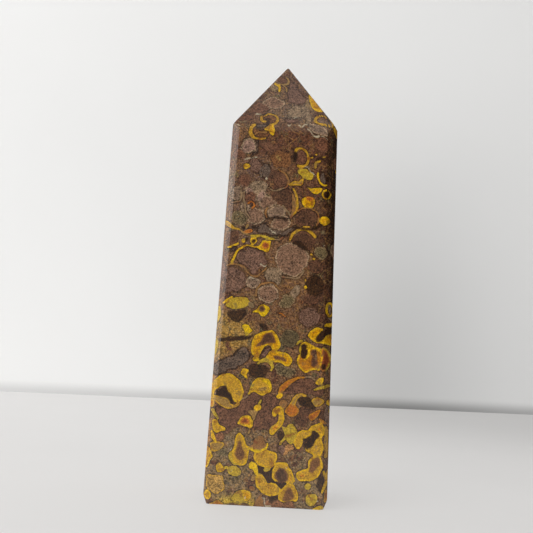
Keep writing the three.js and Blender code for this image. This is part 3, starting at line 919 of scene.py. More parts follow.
FRONT_HEARTS = (
    # The upper half
    patch("black", 2.3, 78, 2.9, 77.6, 2.8, 76.4, 2.4, 75.7, 2.1, 76.8),
    stroke("black", (0.04, 0.12, 0.12, 0.04), -4.5, 85.4, -3.9, 85.7, -3.7, 85.1, -4.1, 84.4),
    stroke("black", (0.04, 0.1, 0.12, 0.04), 7.4, 76.7, 8, 76.9, 8.5, 76.8, 9.3, 76.4),
    disc("tan", -1.4, 76.8, 0.3, 0.22),
    disc("tan", -0.9, 76.2, 0.2, 0.26),
    disc("orange", -8.1, 74.3, 0.35, 0.3),
    disc("rust", 6.3, 67.8, 0.8, 0.3, -10),
    disc("orange", 10.2, 62.8, 0.4, 0.35),
    disc("black", 9.95, 68.9, 0.6, 0.7),
    stroke("black", (0.04, 0.1, 0.04), -2.6, 62.9, -1.2, 63.1, 0.4, 63.2, 1.4, 62.7),
    stroke("black", (0.04, 0.14, 0.12, 0.16, 0.04), 2.8, 61.2, 4.4, 61.1, 6.2, 60.9, 7.8, 61.3, 9.2, 62.1),
    disc("black", -8, 60.6, 0.4, 0.3),
    disc("black", -5.8, 60.8, 0.5, 0.3),
    disc("black", -7.2, 57.9, 0.26, 0.4),
    disc("black", -5.7, 57.7, 0.4, 0.38),
    disc("rust", -2.9, 56.9, 0.6, 0.6),
    patch("slate", -10.9, 55.4, -10, 56.2, -9.3, 56, -9.8, 55.2),
    patch("black", 2.9, 57.9, 4.4, 58.1, 5.8, 57.2, 6.4, 56.3, 5.4, 56.3, 4.2, 57.2),
    # The middle
    disc("dark", -3, 42.8, 0.55, 0.5),
    stroke("black", (0.26, 0.36, 0.34, 0.28, 0.1), -11.7, 35.6, -9.6, 35.9, -7.6, 36.1, -5.8, 36.4,
           -4.8, 36.8),
    patch("black", 9.3, 36.8, 9.4, 37.6, 9.9, 38.2, 10.3, 38.7, 10.9, 38.8, 11.4, 39.1, 12, 39.5,
          13.2, 39.8, 13.2, 38.4, 12.2, 38.1, 11.4, 37.8, 10.9, 37.2, 10.5, 36.6, 9.8, 36.4),
    patch("dark", -3.7, 34.6, -3, 35.5, -2.3, 36.7, -1.4, 37.6, -0.5, 37.5, 0.1, 36.7, 0.2, 35.7,
          -0.6, 35.6, -1.6, 35.4, -2.6, 35),
    patch("dark", 0.2, 32.5, 1, 32.8, 2, 32.4, 2.9, 31.8, 1.8, 31.9, 0.8, 32.1),
    patch("black", 6.1, 35.4, 6.9, 35.6, 7.2, 34.8, 7.5, 33.8, 7.2, 32.9, 6.5, 32.5, 6.1, 33.2, 6.3, 34.3),
    patch("dark", 8.6, 34.4, 9.4, 34.3, 9.3, 33, 9.7, 31.8, 9.3, 31.1, 8.6, 31.1, 8.5, 32, 8.9, 32.8,
          8.4, 33.6),
    disc("moss", 9.3, 33, 0.3, 0.5),
    disc("black", 9.2, 31.6, 0.4, 0.35),
    stroke("yellow", (0.08, 0.16, 0.16, 0.08), 6.9, 32.4, 7.7, 33.1, 7.8, 34.2, 7.4, 35.3),
    stroke("yellow", (0.1, 0.2, 0.18, 0.06), 7.4, 35.5, 8.4, 35, 9.4, 34.8, 10.3, 34.6),
    disc("black", 11.2, 30.9, 0.4, 0.6),
    patch("black", -12, 24.5, -11.1, 25, -10.2, 25.5, -9.7, 25.2, -9.5, 24.5, -8.9, 24, -8.6, 23.2,
          -8.1, 22.4, -8.6, 22, -9.3, 22.9, -10.4, 23.4, -11.8, 23.6),
    stroke("lemon", (0.1, 0.3, 0.3, 0.1), -1.9, 27.3, -1.2, 27.1, -0.6, 26.7, -0.3, 26),
    disc("ochre", -1.8, 25.4, 1, 0.6, 10),
    # The lower half
    patch("rust", -6.2, 17.9, -5.6, 18.9, -4.9, 18.8, -4.5, 17.9, -5.4, 17.8),
    disc("orange", 1.4, 17.2, 0.5, 0.7, -40),
    disc("orange", 11, 17.4, 0.5, 0.6),
    patch("black", 9.3, 16.1, 9.7, 17, 10.3, 16.7, 10.9, 15.9, 10.4, 15.2, 9.9, 14.4, 9.4, 13.5, 8.6, 12.9,
          7.9, 13.6, 7.9, 14.5, 7.3, 15, 8.4, 15.3),
    patch("heart", -6.2, 13.8, -5.7, 12.7, -5.2, 11.2, -5.3, 10.2, -6, 10, -6.9, 11, -6.9, 12, -6.5, 12.9),
    patch("heart", 9.4, 9.3, 9.7, 10.2, 10.5, 11, 11.3, 10.9, 11.4, 10, 10.7, 9, 9.8, 8.2, 9.1, 8.3),
    disc("orange", 7.8, 7.2, 0.7, 0.5, 10),
    disc("dark", 3.3, 7, 1.25, 1.5),
    disc("orange", 5, 6.4, 0.35, 0.7, 10),
    patch("heart", 3.9, 2, 4.3, 3.4, 5, 4.3, 5.7, 3.7, 5.9, 2.4, 5, 1.6),
    disc("copper", 10.4, 13.5, 0.5, 0.6),
    stroke("orange", (0.06, 0.2, 0.2, 0.06), -1.1, 5.8, -0.3, 4.9, 0.7, 4.3, 1.9, 4.2),
)

# Pale cracks of the front, and small cream discs and one stroke that are painted glints and highlights of
# the polish
FRONT_CRACKS_AND_GLINTS = (
    stroke("cream", (0.02, 0.1, 0.05), -8.4, 13.4, -8.1, 12.7, -7.9, 12),
    stroke("cream", (0.1, 0.14, 0.13, 0.1), 5.2, 83.3, 5.8, 82.5, 6.8, 81.9, 8.2, 81.8, 9.7, 81.4),
    stroke("cream", (0.04, 0.12, 0.14, 0.08), 4.8, 74.9, 5.6, 74.5, 6.4, 73.9, 7.1, 73.2, 7.5, 72.8),
    stroke("cream", (0.04, 0.12, 0.1, 0.04), 0.2, 84.7, 0.7, 84.2, 1.2, 84.5),
    stroke("cream", (0.04, 0.12, 0.14, 0.1), 2.7, 84.3, 3.3, 84.6, 3.8, 84.1, 4.4, 84.5, 5, 84.2),
    stroke("cream", (0.02, 0.06, 0.02), -0.2, 86, 1.4, 86.2, 2.9, 86.2),
    stroke("cream", (0.02, 0.08, 0.04), -6.6, 86.5, -6.1, 86.4, -5.4, 86.8),
    # A painted highlight along the top of the left broken edge
    stroke("cream", (0.04, 0.1, 0.04), -10.6, 84.2, -10.3, 83.2, -9.4, 83),
    stroke("cream", (0.02, 0.05, 0.02), -9, 75.9, -7.6, 76.2, -5.8, 76.3),
    # The small cream discs from here on are painted glints; the strokes are pale cracks
    disc("cream", -3.6, 71.7, 0.28, 0.34, 20),
    disc("cream", -4.8, 72.2, 0.2, 0.16),
    disc("cream", -9.5, 63.2, 0.24, 0.18),
    disc("cream", -9, 62.4, 0.14, 0.14),
    stroke("cream", (0.06, 0.14, 0.12), -2.4, 60.9, -1.6, 60.3, -1, 59.6),
    disc("cream", 10, 57.5, 0.16, 0.22),
    disc("cream", 11, 51.9, 0.18, 0.16),
    stroke("cream", (0.02, 0.06, 0.02), -3.9, 52.5, -3.1, 52.3, -2.7, 52.7),
    stroke("cream", (0.02, 0.07, 0.02), -6.4, 49.2, -5.4, 49.5, -4.4, 49),
    stroke("cream", (0.02, 0.07, 0.02), -6, 48, -5.2, 48.2, -4.6, 47.8),
    disc("cream", 5.2, 43.9, 0.14, 0.2),
    disc("cream", 5.6, 43.1, 0.15, 0.18),
    disc("cream", 10.7, 28.5, 0.16, 0.34),
    # Painted glints on the markings of the lower half
    disc("cream", 4.3, 8.8, 0.24, 0.2),
    disc("cream", 4.5, 9.5, 0.16, 0.16),
    disc("cream", -7.5, 7.6, 0.2, 0.2),
    disc("cream", -4.4, 1.9, 0.2, 0.32),
    disc("cream", 11.4, 1.9, 0.26, 0.2),
    stroke("cream", (0.05, 0.11, 0.05), -0.7, 1.9, 0.2, 0.8, 1.4, 0.1),
)


# Markings of the sides that aren't seen

# A side's cracks are pale cracks, and on the front also painted glints
Side = namedtuple("Side", "outward grounds nodules fruits hearts cracks")
FRONT = (0, -1)
FRONT_SIDE = Side(FRONT, FRONT_GROUNDS, FRONT_NODULES, FRONT_FRUITS, FRONT_HEARTS, FRONT_CRACKS_AND_GLINTS)

# A side in millimetres, for scattering the markings over it
HALF_BASE = 13.5
HALF_SHOULDER = 11.8
SHOULDER = 82.8
TIP = 100.0
BASE_REACH = 12

# Heights under which the nodules and the yellow markings are those of the lower half
LOW_NODULES = 40
LOW_FRUITS = 46

# The paints that made-up markings take at random: one named twice is twice as frequent
HIGH_GROUNDS = ("red", "pink", "umber", "grey")
LOW_GROUNDS = ("grain", "ochre", "maroon", "grain")
HIGH_NODULE_PAINTS = ("red", "pink", "grey", "dark", "purple", "moss", "maroon")
LOW_NODULE_PAINTS = ("maroon", "purple", "moss", "black", "dark", "pink")
HIGH_FRUIT_PAINTS = ("yellow", "yellow", "mustard", "orange", "olive")
LOW_FRUIT_PAINTS = ("mustard", "mustard", "mustard", "yellow", "olive", "orange")
HEART_PAINTS = ("heart", "heart", "black", "dark")
FORMS = ("crescent", "bean", "disc", "pear", "sliver")

# Made-up markings of a side: tries, heights and sizes in millimetres, and how far apart they are
HIGH_AREAS = (20, (45, 98), (3, 6), 0.6)
LOW_AREAS = (20, (0, 45), (3, 6), 0.6)
LARGE_NODULES = (70, (2, 94), (2.6, 4.2), 0.9)
SMALL_NODULES = (200, (1, 96), (0.8, 2.4), 0.86)
MANY_FRUITS = (240, (0.5, 46), (1.1, 4.0), 0.78)
FEW_FRUITS = (60, (46, 95), (0.8, 2.8), 1.3)
CRACKS = (26, (2, 96), (0.8, 2.2), 1.2)
# Those of the underside: how many, and their sizes in millimetres
BASE_NODULES = (14, (1.2, 3))
BASE_FRUITS = (16, (1.2, 2.6))

# A lump's points, and how much its radius swells once and twice on the way round
LUMP_POINTS = 8
LUMP_SWELLS = (0.24, 0.14)


def half_width(up):
    """Half the width of a side, or of its facet of the point, at a height."""
    return float(np.interp(up, (0, SHOULDER, TIP), (HALF_BASE, HALF_SHOULDER, 0)))


def arc(right, up, radius, start, sweep):
    """Places along an arc as a row of numbers, with its angles in radians."""
    turns = start + np.linspace(0, sweep, 3 + int(abs(sweep)))
    return np.stack([right + radius * np.cos(turns), up + radius * np.sin(turns)], -1).ravel()


def lump(random, right, up, size):
    """Places round an uneven lump as a row of numbers: its radius is its size, plus a cosine of
    the way round and one of twice the way round."""
    turns = np.linspace(0, 2 * np.pi, LUMP_POINTS, endpoint=False)
    first, second = random.uniform(0, 2 * np.pi, 2)
    once, twice = LUMP_SWELLS
    radius = size * (1 + once * np.cos(turns - first) + twice * np.cos(2 * turns - second))
    return np.stack([right + radius * np.cos(turns), up + radius * np.sin(turns)], -1).ravel()


def scattered(random, tries, span, sizes, gap):
    """Places and sizes for markings between two heights. The middles of two markings are
    farther apart than their sizes together times the gap."""
    placed = []
    for _ in range(tries):
        up = random.uniform(*span)
        size = random.uniform(*sizes)
        right = random.uniform(-1, 1) * max(half_width(up) - 0.3 * size, 0.1)
        if all(np.hypot(right - r, up - u) > gap * (size + other) for r, u, other in placed):
            placed.append((right, up, size))
    return placed


def pick(random, names):
    """One of the names, at random."""
    return str(random.choice(names))


def wild_nodule(random, right, up, size):
    """One nodule of a side that isn't seen."""
    paint = pick(random, LOW_NODULE_PAINTS if up < LOW_NODULES else HIGH_NODULE_PAINTS)
    if random.random() < 0.5:
        return disc(paint, right, up, size, size * random.uniform(0.65, 1), random.uniform(-40, 40))
    return patch(paint, *lump(random, right, up, size * 0.9))


def wild_fruit(random, right, up, size):
    """One yellow marking of a side that isn't seen, and what lies in its heart, each as a list.
    Its parts are shares of its size, and its angles are in radians."""
    paint = pick(random, LOW_FRUIT_PAINTS if up < LOW_FRUITS else HIGH_FRUIT_PAINTS)
    form = pick(random, FORMS)
    start = random.uniform(0, 2 * np.pi)
    heart = pick(random, HEART_PAINTS)
    if form == "crescent":
        sweep = random.uniform(3.4, 5.6)
        width = size * (random.uniform(0.2, 0.36) if up < LOW_FRUITS else 0.11)
        curve = arc(right, up, size * 0.7, start, sweep)
        body = stroke(paint, (width * 0.6, width, width * 1.1, width * 0.5), *curve)
        return [body], [disc(heart, right, up, size * 0.36, size * 0.3)]
    if form == "bean":
        sweep = random.uniform(0.9, 1.8)
        halfway = start + sweep / 2
        middle = (right - size * np.cos(halfway), up - size * np.sin(halfway))
        widths = (size * 0.36, size * 0.44, size * 0.38)
        body = stroke(paint, widths, *arc(*middle, size, start, sweep))
        inside = arc(*middle, size, start + sweep * 0.25, sweep * 0.5)
        return [body], [stroke(heart, (size * 0.05, size * 0.14, size * 0.06), *inside)]
    if form == "pear":
        outline = lump(random, right, up, size * 0.75)
        middle = np.tile((right, up), LUMP_POINTS)
        inside = middle + 0.42 * (outline - middle)
        return [patch(paint, *outline)], [patch(heart, *inside)]
    if form == "sliver":
        sweep = random.uniform(1.4, 2.6)
        thin = random.uniform(0.18, 0.3)
        widths = (thin * 0.6, thin, thin, thin * 0.5)
        return [stroke(paint, widths, *arc(right, up, size, start, sweep))], []
    return [disc(paint, right, up, size * 0.72, size * 0.55, np.degrees(start))], []


def wild_side(random, outward):
    """All the markings of one side that isn't seen, with few yellow ones in its upper half."""
    grounds = [
        disc(pick(random, HIGH_GROUNDS), right, up, size, size * 1.3)
        for right, up, size in scattered(random, *HIGH_AREAS)
    ]
    grounds += [
        disc(pick(random, LOW_GROUNDS), right, up, size, size * 0.8)
        for right, up, size in scattered(random, *LOW_AREAS)
    ]
    nodules = [wild_nodule(random, *place) for place in scattered(random, *LARGE_NODULES)]
    nodules += [wild_nodule(random, *place) for place in scattered(random, *SMALL_NODULES)]
    fruits = []
    hearts = []
    for place in scattered(random, *MANY_FRUITS) + scattered(random, *FEW_FRUITS):
        bodies, cores = wild_fruit(random, *place)
        fruits += bodies
        hearts += cores
    cracks = []
    for right, up, size in scattered(random, *CRACKS):
        line = arc(right, up, size * 2, random.uniform(0, 2 * np.pi), 0.9)
        cracks.append(stroke("cream", (0.04, 0.12, 0.1, 0.04), *line))
    return Side(outward, grounds, nodules, fruits, hearts, cracks)


def wild_base(random):
    """The markings of the underside, which runs across and forward like a side."""
    nodules = []
    fruits = []
    hearts = []
    count, sizes = BASE_NODULES
    for _ in range(count):
        place = random.uniform(-BASE_REACH, BASE_REACH, 2)
        nodules.append(wild_nodule(random, *place, random.uniform(*sizes)))
    count, sizes = BASE_FRUITS
    for _ in range(count):
        place = random.uniform(-BASE_REACH, BASE_REACH, 2)
        bodies, cores = wild_fruit(random, *place, random.uniform(*sizes))
        fruits += bodies
        hearts += cores
    ground = disc("grain", 0, 0, BASE_REACH, BASE_REACH)
    return Side((0, 0), [ground], nodules, fruits, hearts, [])


# From markings to distances on the mesh

# The crack layer holds pale cracks, and on the front also painted glints
LAYERS = ("nodule", "fruit", "heart", "crack")

# In millimetres: the distance where no marking is near, how far round a marking its distance is
# worked out, half the soft edge of a ground and how deep it reaches, and the least half width
# of a stroke
FAR = 3.0
MARGIN = 1.6
SOFT_GROUND = 1.6
GROUND_DEPTH = 4
THINNEST = 0.13

# In millimetres, how far the other sides' markings keep behind the front's broken edge, and how
# fast they draw in
CLEAR_OF_EDGE = 0.8
DRAWING_IN = 1.5

# The knots at the far ends of the front's broken edges: at its right, and at its left
FRONT_KNOTS = (4, 11)
# Parts that the line between two points of an outline is drawn in
STEPS = 6
# How far the outlines of each layer stray: those of its patches and discs, and those of its strokes
WAVERS = {"nodule": (0.13, 0.1), "fruit": (0.08, 0.05), "heart": (0.08, 0.06), "crack": (0.05, 0.2)}


def smooth_line(points, closed):
    """A Catmull-Rom line through points, and how far along it each of its own points is. Each
    span is a cubic that takes its slope at a point from that point's two neighbours."""
    here = points
    if closed:
        before, after, later = (np.roll(here, -shift, axis=0) for shift in (-1, 1, 2))
    else:
        long = np.concatenate([[2 * here[0] - here[1]], here, [2 * here[-1] - here[-2]]])
        before, here, after, later = long[:-3], long[1:-2], long[2:-1], long[3:]
    t = np.linspace(0, 1, STEPS, endpoint=False)[None, :, None]
    p, q, r, s = (part[:, None] for part in (before, here, after, later))
    squared, cubed = 2 * p - 5 * q + 4 * r - s, 3 * q - p - 3 * r + s
    line = (0.5 * (2 * q + (r - p) * t + squared * t**2 + cubed * t**3)).reshape(-1, 2)
    last = line[:1] if closed else after[-1:]
    line = np.concatenate([line, last])
    return line, np.linspace(0, 1, len(line))


def from_line(where, line, along):
    """Distance from each place to the nearest point of a line, and how far along that point is."""
    start, step = line[:-1], np.diff(line, axis=0)
    away = where[:, None] - start
    length = np.maximum((step**2).sum(1), 1e-12)
    share = np.clip((away * step).sum(-1) / length, 0, 1)
    gap = np.linalg.norm(away - share[..., None] * step, axis=-1)
    nearest = gap.argmin(1)
    row = np.arange(len(where))
    at = along[nearest] + share[row, nearest] * np.diff(along)[nearest]
    return gap[row, nearest], at


def within(where, line):
    """Whether each place lies inside a closed line: a ray to its right crosses it an odd number
    of times."""
    start, end = line[:-1], line[1:]
    spans = (start[:, 1] > where[:, None, 1]) != (end[:, 1] > where[:, None, 1])
    rise = end[:, 1] - start[:, 1]
    rise = np.where(np.abs(rise) < 1e-9, 1e-9, rise)
    cut = start[:, 0] + (where[:, None, 1] - start[:, 1]) / rise * (end[:, 0] - start[:, 0])
    return (spans & (cut > where[:, None, 0])).sum(1) % 2 == 1


def from_disc(where, centre, widths):
    """Distance from each place to the edge of a disc, less than zero inside it: its own radius
    there is divided by how fast that radius grows."""
    wide, high, turn = widths
    cos, sin = np.cos(np.radians(turn)), np.sin(np.radians(turn))
    away = (where - centre) @ np.array([[cos, -sin], [sin, cos]])
    radius = np.linalg.norm(away / (wide, high), axis=1)
    growth = np.linalg.norm(away / (wide**2, high**2), axis=1)
    return radius * (radius - 1) / np.maximum(growth, 1e-6)


def wavering(place, size):
    """Places moved a little by a smooth field, so that outlines waver, of a size in millimetres.
    Each way it is a bent sine wave and a weaker one across it, of two to four millimetres."""
    right, up = place.T
    sway = np.sin(1.9 * up + 1.3 * np.sin(0.9 * right + 0.4))
    rise = np.sin(2.1 * right + 1.1 * np.sin(1.2 * up + 1.9))
    sway = sway + 0.7 * np.sin(3.1 * right - 1.7 * up + 2.0)
    rise = rise + 0.7 * np.sin(2.6 * up + 2.3 * right + 0.7)
    return place + size * np.stack([sway, rise], -1)


def mark_box(mark):
    """Lowest and highest place that a marking reaches."""
    widest = max(mark.widths[:2] if mark.form == "disc" else mark.widths or (0,))
    return mark.points.min(0) - widest, mark.points.max(0) + widest


def edge_distance(mark, where):
    """Distance from each place to the edge of a marking, less than zero inside it. A stroke's
    half width is kept a little more than THINNEST, which the mesh can still carry."""
    if mark.form == "disc":
        return from_disc(where, mark.points[0], mark.widths)
    line, along = smooth_line(mark.points, mark.form == "patch")
    gap, at = from_line(where, line, along)
    if mark.form == "patch":
        return np.where(within(where, line), -gap, gap)
    stops = np.linspace(0, 1, len(mark.widths))
    return gap - np.interp(at, stops, np.hypot(mark.widths, THINNEST))


class Canvas:
    """The fields that the material reads, one value or colour for each point of the mesh: for each
    layer the distance to the nearest edge in millimetres, the colours of that marking's rim and
    body, and how wide its rim is; and the colour of the ground."""

    def __init__(self, count, colours):
        self.colours = colours
        self.edge = {layer: np.full(count, FAR) for layer in LAYERS}
        self.rim = {layer: np.full((count, 3), 0.1) for layer in LAYERS}
        self.body = {layer: np.full((count, 3), 0.1) for layer in LAYERS}
        self.width = {layer: np.ones(count) for layer in LAYERS}
        self.ground = np.tile(self.tone("umber"), (count, 1))

    def tone(self, name):
        """One of the stone's colours by its name."""
        return np.array(getattr(self.colours, name))

    def near(self, mark, place, depth):
        """The points of the mesh that a marking can reach, and its size."""
        low, high = mark_box(mark)
        size = max((high - low).min() / 2, 1.0)
        inside = (place > low - MARGIN).all(1) & (place < high + MARGIN).all(1)
        return np.flatnonzero(inside & (depth < 2 * size + MARGIN)), size

    def add(self, layer, mark, place, depth):
        """Lays a marking into a layer. It draws in below the side that it shows on, by the square
        of the depth over twice its size, so it rounds off across a broken edge."""
        found, size = self.near(mark, place, depth)
        if not len(found):
            return
        moved = wavering(place[found], WAVERS[layer][mark.form == "stroke"])
        distance = edge_distance(mark, moved) + depth[found] ** 2 / (2 * size)
        closer = distance < self.edge[layer][found]
        found = found[closer]
        rim, body, width = PAINTS[mark.paint]
        self.edge[layer][found] = distance[closer]
        self.rim[layer][found] = self.tone(rim)
        self.body[layer][found] = self.tone(body)
        self.width[layer][found] = width

    def lay_ground(self, mark, place, depth):
        """Blends a broad marking into the ground, softly at its edge."""
        found = np.flatnonzero(depth < GROUND_DEPTH)
        distance = edge_distance(mark, place[found]) + depth[found]
        share = np.clip(0.5 - distance / (2 * SOFT_GROUND), 0, 1)
        share = (share * share * (3 - 2 * share))[:, None]
        body = PAINTS[mark.paint][1]
        self.ground[found] += share * (self.tone(body) - self.ground[found])


def edge_depth(facets, points):
    """How far behind the front the broken edge at either side of it reaches, at each point's
    height. It is nothing on the point of the stone, which has no broken edges."""
    levels = np.linspace(0, facets.top, LEVELS)
    knots = knot_directions(facets, levels)
    depths = []
    for knot in FRONT_KNOTS:
        places = np.concatenate([knots[:, knot], levels[:, None]], axis=1)
        depths.append(np.interp(points[:, 2], levels, facets.depth(places, FRONT)))
    return np.maximum(np.where(points[:, 0] > 0, *depths), 0) / MM


def paint_stone(points, facets, sides, colours):
    """Fills a canvas with the markings of every side. Those of the front run on across its two
    broken edges, and those of the other sides draw in before they reach them."""
    canvas = Canvas(len(points), colours)
    covered = edge_depth(facets, points)
    behind = facets.depth(points, FRONT) / MM
    for side in sides:
        outward = np.array(side.outward, dtype=float)
        if outward.any():
            rightward = np.array((-outward[1], outward[0]))
            place = np.stack([points[:, :2] @ rightward, points[:, 2]], -1) / MM
            depth = np.maximum(facets.depth(points, outward) / MM, 0)
            if side is FRONT_SIDE:
                depth = np.maximum(depth - covered, 0)
            else:
                past = np.maximum(covered + CLEAR_OF_EDGE - behind, 0)
                depth = np.hypot(depth, DRAWING_IN * past)
        else:
            place = points[:, :2] / MM
            depth = points[:, 2] / MM
        for mark in side.grounds:
            canvas.lay_ground(mark, place, depth)
        for layer in LAYERS:
            for mark in getattr(side, layer + "s"):
                canvas.add(layer, mark, place, depth)
    return canvas


def keep_canvas(mesh, canvas):
    """Puts a canvas on the mesh as attributes of its points."""
    count = len(mesh.vertices)
    for layer in LAYERS:
        for name, field in (("_edge", canvas.edge), ("_width", canvas.width)):
            held = mesh.attributes.new(layer + name, "FLOAT", "POINT")
            held.data.foreach_set("value", field[layer].astype(np.float32))
    tones = {"ground": canvas.ground}
    for layer in LAYERS[:3]:
        tones[layer + "_rim"] = canvas.rim[layer]
        tones[layer + "_body"] = canvas.body[layer]
    for name, tone in tones.items():
        held = mesh.attributes.new(name, "FLOAT_COLOR", "POINT")
        full = np.concatenate([tone, np.ones((count, 1))], axis=1)
        held.data.foreach_set("color", full.astype(np.float32).ravel())


# Materials

# Kinds of noise: lumps for each millimetre, detail, and roughness
GRAIN_WARP = (1.4, 2.0, 0.5)
FINENESS = (3.0, 3.0, 0.7)
CURLS = (0.75, 2.0, 0.6)
WAVER = (1.3, 3.0, 0.6)
FRAY = (4.5, 2.0, 0.6)
MOTTLE = (1.5, 3.0, 0.6)
CLOUD = (0.42, 3.0, 0.55)
GHOST_WARP = (0.9, 2.0, 0.5)
GHOST_AREAS = (0.5, 1.0, 0.5)
WARM_SPOTS = (2.7, 2.0, 0.6)
COARSE_AREAS = (0.35, 2.0, 0.5)
DARK_GAPS = (2.2, 3.0, 0.6)
BLOTCH = (0.6, 2.0, 0.55)
FRUIT_PATCHES = (0.6, 3.0, 0.65)
SHEEN = (0.7, 4.0, 0.5)
SWELL = (0.16, 2.0, 0.5)
PITS = (2.4, 2.0, 0.5)
PAINT_MOTTLE = (0.02, 3.0, 0.5)

# Grains and threads: how far they are bent in millimetres, the parts of a grain's brightness, the
# size of the cells that threads border as a share of the grains, and the turns of the curls
GRAIN_BEND = 0.7
OWN_BRIGHTNESS = 0.55
NOISE_BRIGHTNESS = (1.5, 0.3)
NET_SHARE = 0.45
CURL_TURNS = 64.0

# A marking's light: its threads, the least it has, and its growth rings, with how far blotches
# push them in millimetres and their turns for each millimetre
STRAND_LIGHT = 0.85
LEAST_LIGHT = 0.1
RING_PUSH = 1.1
RING_TURNS = 9.5

# How each layer of markings looks, the rims in millimetres that no setting gives, and how much of
# the raggedness its outlines take
LOOKS = {
    "nodule": (0.07, 0.85, 0.42, 1.3, 0.9),
    "fruit": (0.06, 1.0, 0.0, 0.55, 1.0),
    "heart": (0.2, 0.25, 0.0, 0.8, 0.97),
}
LOOK_NAMES = ("Softness", "Line strength", "Ring strength", "Contrast", "Strength")
NODULE_RIM = 0.22
HEART_RIM = 0.26
RAGGED = {"nodule": 1.0, "fruit": 0.45, "heart": 0.8}

# The outlines' raggedness: shares of the broad waver, of the fine fray, and of the fray on cracks and
# painted glints
WAVER_SHARE = 0.5
FRAY_SHARE = 0.42
CRACK_AND_GLINT_FRAY = 0.35

# The ground: the ghost nodules' bend and number for each millimetre, how strongly each tint
# covers it, and its light
MOTTLE_SHARE = 0.8
GHOST_BEND = 0.9
GHOSTS_PER_MM = 0.62
GHOST_STRENGTH = 0.3
SPOT_STRENGTH = 0.6
GROUND_LIGHT = 0.25
GRAIN_LIGHT = 1.4
THREAD_LIGHT = 0.8
LEAST_GROUND_LIGHT = 0.15
RED_CHANGE = 0.2
BLUE_CHANGE = 0.5

# The polish: strengths of cracks with the painted glints among them and of specks, the roughness
# that noise adds, the refraction of quartz, and the swells and pits in the surface
CRACK_AND_GLINT_STRENGTH = 0.85
SPECK_STRENGTH = 0.5
SHEEN_CHANGE = 0.1
QUARTZ_IOR = 1.54
SWELL_HEIGHT = 0.03
PIT_HEIGHT = -0.02
BUMP_STRENGTH = 0.35


class Nodes:
    """A node tree and short ways to add to it."""

    def __init__(self, tree):
        self.tree = tree
        self.link = tree.links.new

    def add(self, kind, inputs=None, **settings):
        """A node with its settings, and its inputs by name or number: a socket is linked, and
        anything else is set."""
        node = self.tree.nodes.new(kind)
        for name, value in settings.items():
            setattr(node, name, value)
        for key, value in (inputs or {}).items():
            if isinstance(value, bpy.types.NodeSocket):
                self.link(value, node.inputs[key])
            else:
                node.inputs[key].default_value = value
        return node

    def step(self, operation, *values):
        """One step of arithmetic."""
        return self.add("ShaderNodeMath", dict(enumerate(values)), operation=operation).outputs[0]

    def times(self, value, *factors):
        """A value times each of the factors in turn."""
        for factor in factors:
            value = self.step("MULTIPLY", value, factor)
        return value

    def plus(self, first, second):
        """The sum of two values."""
        return self.step("ADD", first, second)

    def minus(self, first, second):
        """A value less another one."""
        return self.step("SUBTRACT", first, second)

    def ease(self, value, low, high, start=0.0, end=1.0):
        """A soft step from start to end as a value goes from low to high."""
        inputs = {"Value": value, "From Min": low, "From Max": high, "To Min": start, "To Max": end}
        return self.add("ShaderNodeMapRange", inputs, interpolation_type="SMOOTHSTEP").outputs[0]

    def mix(self, share, first, second, blend="MIX"):
        """Two colours mixed by a share."""
        inputs = {0: share, 6: first, 7: second}
        return self.add("ShaderNodeMix", inputs, data_type="RGBA", blend_type=blend).outputs[2]

    def grey(self, light):
        """A grey of one lightness."""
        return self.add("ShaderNodeCombineColor", {0: light, 1: light, 2: light}).outputs[0]

    def noise(self, place, kind, output="Fac"):
        """Cloudy noise of one of the kinds above."""
        inputs = dict(zip(("Vector", "Scale", "Detail", "Roughness"), (place, *kind)))
        return self.add("ShaderNodeTexNoise", inputs).outputs[output]

    def bent(self, place, kind, amount):
        """A place moved by a noise of three parts, times an amount in millimetres."""
        shift = {0: self.noise(place, kind, "Color"), "Scale": amount}
        offset = self.add("ShaderNodeVectorMath", shift, operation="SCALE").outputs[0]
        return self.add("ShaderNodeVectorMath", {0: place, 1: offset}, operation="ADD").outputs[0]

    def cells(self, place, scale, feature="F1"):
        """Cells round scattered points, with their scale in cells for each millimetre."""
        inputs = {"Vector": place, "Scale": scale}
        return self.add("ShaderNodeTexVoronoi", inputs, feature=feature).outputs

    def attribute(self, name, output="Fac"):
        """A field that the mesh carries."""
        return self.add("ShaderNodeAttribute", attribute_name=name).outputs[output]

    def place(self):
        """The place in the stone, in millimetres."""
        where = self.add("ShaderNodeTexCoord").outputs["Object"]
        inputs = {0: where, "Scale": 1 / MM}
        return self.add("ShaderNodeVectorMath", inputs, operation="SCALE").outputs[0]


def new_group(name, inputs, outputs):
    """An empty node group with named sockets, and its Nodes, input sockets and output sockets."""
    tree = bpy.data.node_groups.new(name, "ShaderNodeTree")
    for way, sockets in (("INPUT", inputs), ("OUTPUT", outputs)):
        for label, kind in sockets.items():
            tree.interface.new_socket(label, in_out=way, socket_type="NodeSocket" + kind)
    nodes = Nodes(tree)
    return nodes, nodes.add("NodeGroupInput").outputs, nodes.add("NodeGroupOutput").inputs


